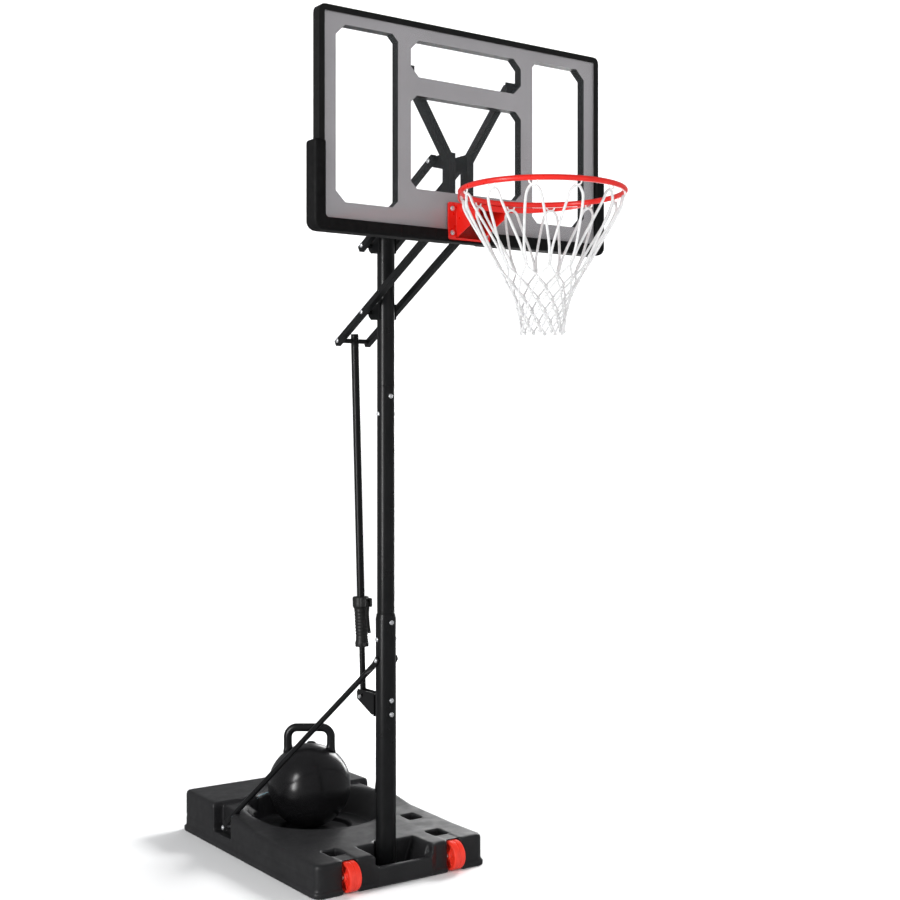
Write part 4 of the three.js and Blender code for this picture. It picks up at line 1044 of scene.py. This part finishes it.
NET = {"cord": 3.9, "mesh_cord": 2.9, "knots": (1957, 1917, 1878, 1841, 1806, 1772), "shoulder": 19}
# the net's radius at each drop below the ring's line
NET_DROPS = (0, 60, 120, 180, 245, 310, 360, 410)
NET_RADII = (228.6, 206, 180, 152, 111, 79, 67, 62)


def net_radius(centre, z):
    return float(np.interp(centre.z - z, NET_DROPS, NET_RADII))


def build_net():
    """Twelve loops on the hooks; below the first knots each pair of strands runs in diamonds to the hem."""
    centre, line = ring_centre()
    half = math.pi / RING["hooks"]

    def spot(angle, z):
        radius = net_radius(centre, z)
        return Vector((centre.x + radius * math.cos(angle), centre.y + radius * math.sin(angle), z))

    shapes = []
    rows = NET["knots"]
    top = centre.z - RING["rod"] - 11
    for number, angle in enumerate(hook_angles()):
        out = Vector((math.cos(angle), math.sin(angle), 0))
        along = Vector((-math.sin(angle), math.cos(angle), 0))
        crown = Vector((centre.x, centre.y, 0)) + out * (line - 4)
        sway = 6 * math.sin(number * 2.4)
        sides = []
        for side in (-1, 1):
            low_bend = crown + along * (side * (NET["shoulder"] + 5)) - out * 14
            high_bend = crown + along * (side * (NET["shoulder"] - 4)) - out * 4
            sides.append([
                spot(angle + side * half * 0.92, rows[0] + 6),
                spot(angle + side * half * 0.86, rows[0] + 50),
                low_bend + Vector((0, 0, top - 42 - side * sway * 0.4)),
                high_bend + Vector((0, 0, top - 10)),
            ])
        loop = [*sides[0], crown + Vector((0, 0, top)), *reversed(sides[1])]
        shapes.append(swept(smooth_path(loop, 6), circle(NET["cord"], 8), out))
        for side in (-1, 1):
            strand = []
            for row, z in enumerate(rows):
                reach = (0.93 if row % 2 == 0 else 0.07) * half * side
                sag = 1.5 * math.sin(number * 1.7 + row * 2.1)
                strand.append(spot(angle + reach, z + 5 + sag))
                strand.append(spot(angle + reach, z - 5 + sag))
            strand[0] = spot(angle + 0.92 * half * side, rows[0] + 8)
            shapes.append(swept(smooth_path(strand, 4), circle(NET["mesh_cord"], 8), out))
        for row, z in enumerate(rows):
            where = angle + (half if row % 2 == 0 else 0)
            sag = 1.5 * math.sin(number * 1.7 + row * 2.1)
            knot = spot(where, z + sag)
            shapes.append(knot_shape(knot, Vector((math.cos(where), math.sin(where), 0))))
    stand_for("net", joined(*shapes), white_cord(), 60)


def knot_shape(centre, out):
    """A small hitch: one turn of cord round the pair of strands."""
    along = Vector((-out.y, out.x, 0))
    up = Vector((0, 0, 1))
    path = []
    for k in range(16):
        angle = 2 * math.pi * k / 16
        turn = along * (4.6 * math.cos(angle)) + out * (3.2 * math.sin(angle))
        path.append(centre + turn + up * (1.6 * math.sin(2 * angle)))
    return swept(path, circle(1.9, 6), up, closed=True)


# ---------------------------------------------------------------- lift mechanism


def lift_frame():
    """The lift tube's own axes: its origin on the rear pin and its line down to the foot pin."""
    origin, foot = middle_mm("rear_pin"), middle_mm("lift_rod_pin")
    up = (origin - foot).normalized()
    across = Vector((1, 0, 0))
    return origin, up.cross(across).normalized(), up, (origin - foot).length


def on_lift(shape):
    """Moves a shape from the lift's own axes into place."""
    origin, back, up, _ = lift_frame()
    turn = Matrix((Vector((1, 0, 0)), back, up)).transposed()
    vertices, faces = shape
    return [origin + turn @ Vector(v) for v in vertices], faces


GRIP = {"top": -885, "bottom": -1058, "bore": 13.8}
TUBE = {"bore": 11.6, "radius": 13.5, "top": 24}
ROD = {"bore": 8, "radius": 10, "top": -700}
TRIGGER_PIN = {"y": -42, "drop": 20, "radius": 2.5, "half": 13.5}


def build_lift(paint, plastic, metal):
    _, _, _, length = lift_frame()
    for node, size, end, segments in (
        ("lift_tube", TUBE, GRIP["bottom"] + 6, 64), ("lift_rod", ROD, -length - 12, 56),
    ):
        tube = sleeve((0, 0, 0), (0, 0, 1), size["bore"], size["radius"], end, size["top"], segments)
        stand_for(node, on_lift(tube), paint)
    foot_pin = turned([
        (0, -18.7), (6, -17.7), (7, -14.7), (4, -14.7), (4, 14.7), (7, 14.7), (6, 17.7), (0, 18.7),
    ], (0, 0, -length), (1, 0, 0), 40, 0.4)
    stand_for("lift_rod_pin", on_lift(foot_pin), metal)
    half = TRIGGER_PIN["half"]
    place = (0, TRIGGER_PIN["y"], GRIP["top"] - TRIGGER_PIN["drop"])
    trigger_pin = pin(place, (1, 0, 0), TRIGGER_PIN["radius"], -half, half, 24, 0.4)
    stand_for("trigger_pin", on_lift(trigger_pin), metal)
    stand_for("lift_handle", on_lift(handle_shape()), plastic, 40)
    keep("lift_trigger", plastic, 1.6, 4)


def handle_shape():
    """The moulded grip: a collar and trigger housing above a ribbed hand grip."""
    top, bottom = GRIP["top"], GRIP["bottom"]
    step = 1.5
    at = grid((-30, -54, bottom), (30, 30, top), step)
    x, y, z = at
    rows = [
        (bottom - 1, 23), (bottom + 12, 23.5), (bottom + 26, 21), (top - 90, 23), (top - 42, 24),
        (top - 34, 29), (top - 4, 29), (top, 26), (top + 1, 26),
    ]
    radius = np.interp(z, *zip(*rows)).astype(np.float32)
    ribbed = (z > bottom + 34) & (z < top - 52)
    wave = 0.7 * (1 - np.cos((z - bottom) * 2 * math.pi / 11))
    ribs = np.where(ribbed, wave, 0).astype(np.float32)
    around = np.sqrt(x**2 + y**2)
    grip = np.maximum(around - radius + ribs, np.maximum(z - top, bottom - z))
    housing = box_field(at, (-14, -53, top - 35), (14, -10, top - 4), 4)
    foot = box_field(at, (-6, -34, bottom + 3), (6, -16, bottom + 16), 2)
    field = melt(melt(grip, housing, 5), foot, 3)
    field = carve(field, around - GRIP["bore"] + 0 * z, 0.6)
    slot = box_field(at, (-6, -90, top - 62), (6, -30, top - 9), 0.5)
    return surface_of(carve(field, slot, 1.0), at, step)


# ---------------------------------------------------------------- weight

WEIGHT = {"radius": 151, "flat": 149, "turn": -35.2, "tilt": 27, "mouth": 13, "collar": 20, "inside": 128}
LOOP = {"half": 79, "top": 211, "tube": 15, "corner": 34}


def weight_centre():
    middle = middle_mm("weight_sand")
    return Vector((middle.x, middle.y, box_mm("weight_ball")[0].z + WEIGHT["flat"]))


def on_weight(shape):
    turn = Matrix.Rotation(math.radians(WEIGHT["turn"]), 3, "Z")
    centre = weight_centre()
    vertices, faces = shape
    return [centre + turn @ Vector(v) for v in vertices], faces


def build_weight():
    gloss = finish("ball_plastic")
    radius, mouth, collar = WEIGHT["radius"], WEIGHT["mouth"], WEIGHT["collar"]
    tilt = math.radians(WEIGHT["tilt"])
    axis = Vector((0, math.sin(tilt), math.cos(tilt)))
    # turned about the line of its filling mouth, from the floor of the mouth over the collar and the shell
    start = math.asin(collar / radius)
    shell = [(radius * math.sin(a), radius * math.cos(a)) for a in np.linspace(start, math.pi, 90)]
    shell[-1] = (0.0, -radius)
    inside, lip = WEIGHT["inside"], radius + 2
    throat = eased([(mouth, inside), (mouth, lip), (collar, lip), shell[0]], 0.8, 3, closed=False)
    profile = [(0, inside), *[tuple(p) for p in throat], *shell[1:]]
    vertices, faces = turned(profile, (0, 0, 0), axis, 160, 0)
    foot = -WEIGHT["flat"]
    vertices = [Vector((v.x, v.y, max(v.z, foot))) for v in vertices]
    stand_for("weight_ball", on_weight((vertices, faces)), gloss, 50)
    body, ribs = cap_shape(axis * (radius + 2.3), axis, 17, 7, 12, 16, 28)
    cap = moulded_black("weight_cap_plastic", 0.008, 0.013, (0.26, 0.4))
    stand_for("weight_cap", on_weight(joined(body, *ribs)), cap)
    build_weight_handle(gloss)


def build_weight_handle(gloss):
    """A round tube bent over the ball, which swells where it meets the shell."""
    half, top, tube, corner = LOOP["half"], LOOP["top"], LOOP["tube"], LOOP["corner"]
    step = 2.0
    at = grid((-half - 16, -17, 100), (half + 16, 17, top + 16), step)
    x, y, z = at
    across = abs(x) - (half - corner)
    rise = z - (top - corner)
    bend = np.sqrt(np.maximum(across, 0) ** 2 + np.maximum(rise, 0) ** 2)
    line = np.where((across > 0) | (rise > 0), bend - corner, np.maximum(across, rise) - corner)
    line = np.where((rise < 0) & (across > 0), across - corner, line)
    field = np.sqrt(line**2 + y**2) - tube
    ball = np.sqrt(x**2 + y**2 + z**2) - WEIGHT["radius"] - 0.3
    # a soft swelling at the foot of each leg, which stays inside the handle's own box
    swell = np.maximum(ball - 7, np.sqrt((abs(x) - half) ** 2 + y**2) - tube - 1.0)
    field = melt(field, swell, 6)
    field = np.maximum(field, np.maximum(-ball, abs(y) - tube))
    shape = surface_of(field, at, step)
    relax(stand_for("weight_handle", on_weight(shape), gloss, 50), 3)


# ---------------------------------------------------------------- everything together


def build_kept_nodes(paint, red):
    for node in ("left_lower_arm", "right_lower_arm", "left_upper_arm", "right_upper_arm"):
        keep(node, paint, 2.2, 4)
    for node in ("lower_pivot_bracket", "upper_pivot_bracket", "lift_bracket"):
        keep(node, paint, 0.9)
    brackets = finish("bracket_paint")
    for node in ("left_board_bracket", "right_board_bracket"):
        keep(node, brackets, 0.9)
    keep("board_frame", moulded_black("frame_plastic", 0.004, 0.007), 0.8)
    keep("board_face", finish("grey_print"), 0.2, 2)
    keep("board_panel", finish("clear_sheet"), 0.6)
    keep("board_trim", moulded_black("trim_plastic", 0.003, 0.005, (0.4, 0.55)), 1.0)
    keep("rim_bracket", red, 1.2, 4)
    keep("ballast_water", finish("ballast_water"), 0.5, 1)
    keep("weight_sand", finish("sand"), 0.5, 1)


def build():
    paint, metal, plastic, red = black_paint(), finish("zinc"), moulded_black(), finish("red_paint")
    build_tank()
    for side in ("left", "right"):
        stand_for(f"{side}_wheel", wheel_shape(f"{side}_wheel"), finish("wheel_plastic"))
    build_fill_cap()
    build_pole(paint, plastic)
    build_fasteners(metal, paint)
    for name, side in (("left", -1), ("right", 1)):
        stand_for(f"{name}_strut", strut_shape(side), paint)
    build_pad()
    build_ring(red, finish("clip_plastic"))
    build_brace(red)
    build_net()
    build_lift(paint, plastic, metal)
    build_weight()
    build_kept_nodes(paint, red)


add_camera()
add_lights()
add_backdrop()
build()
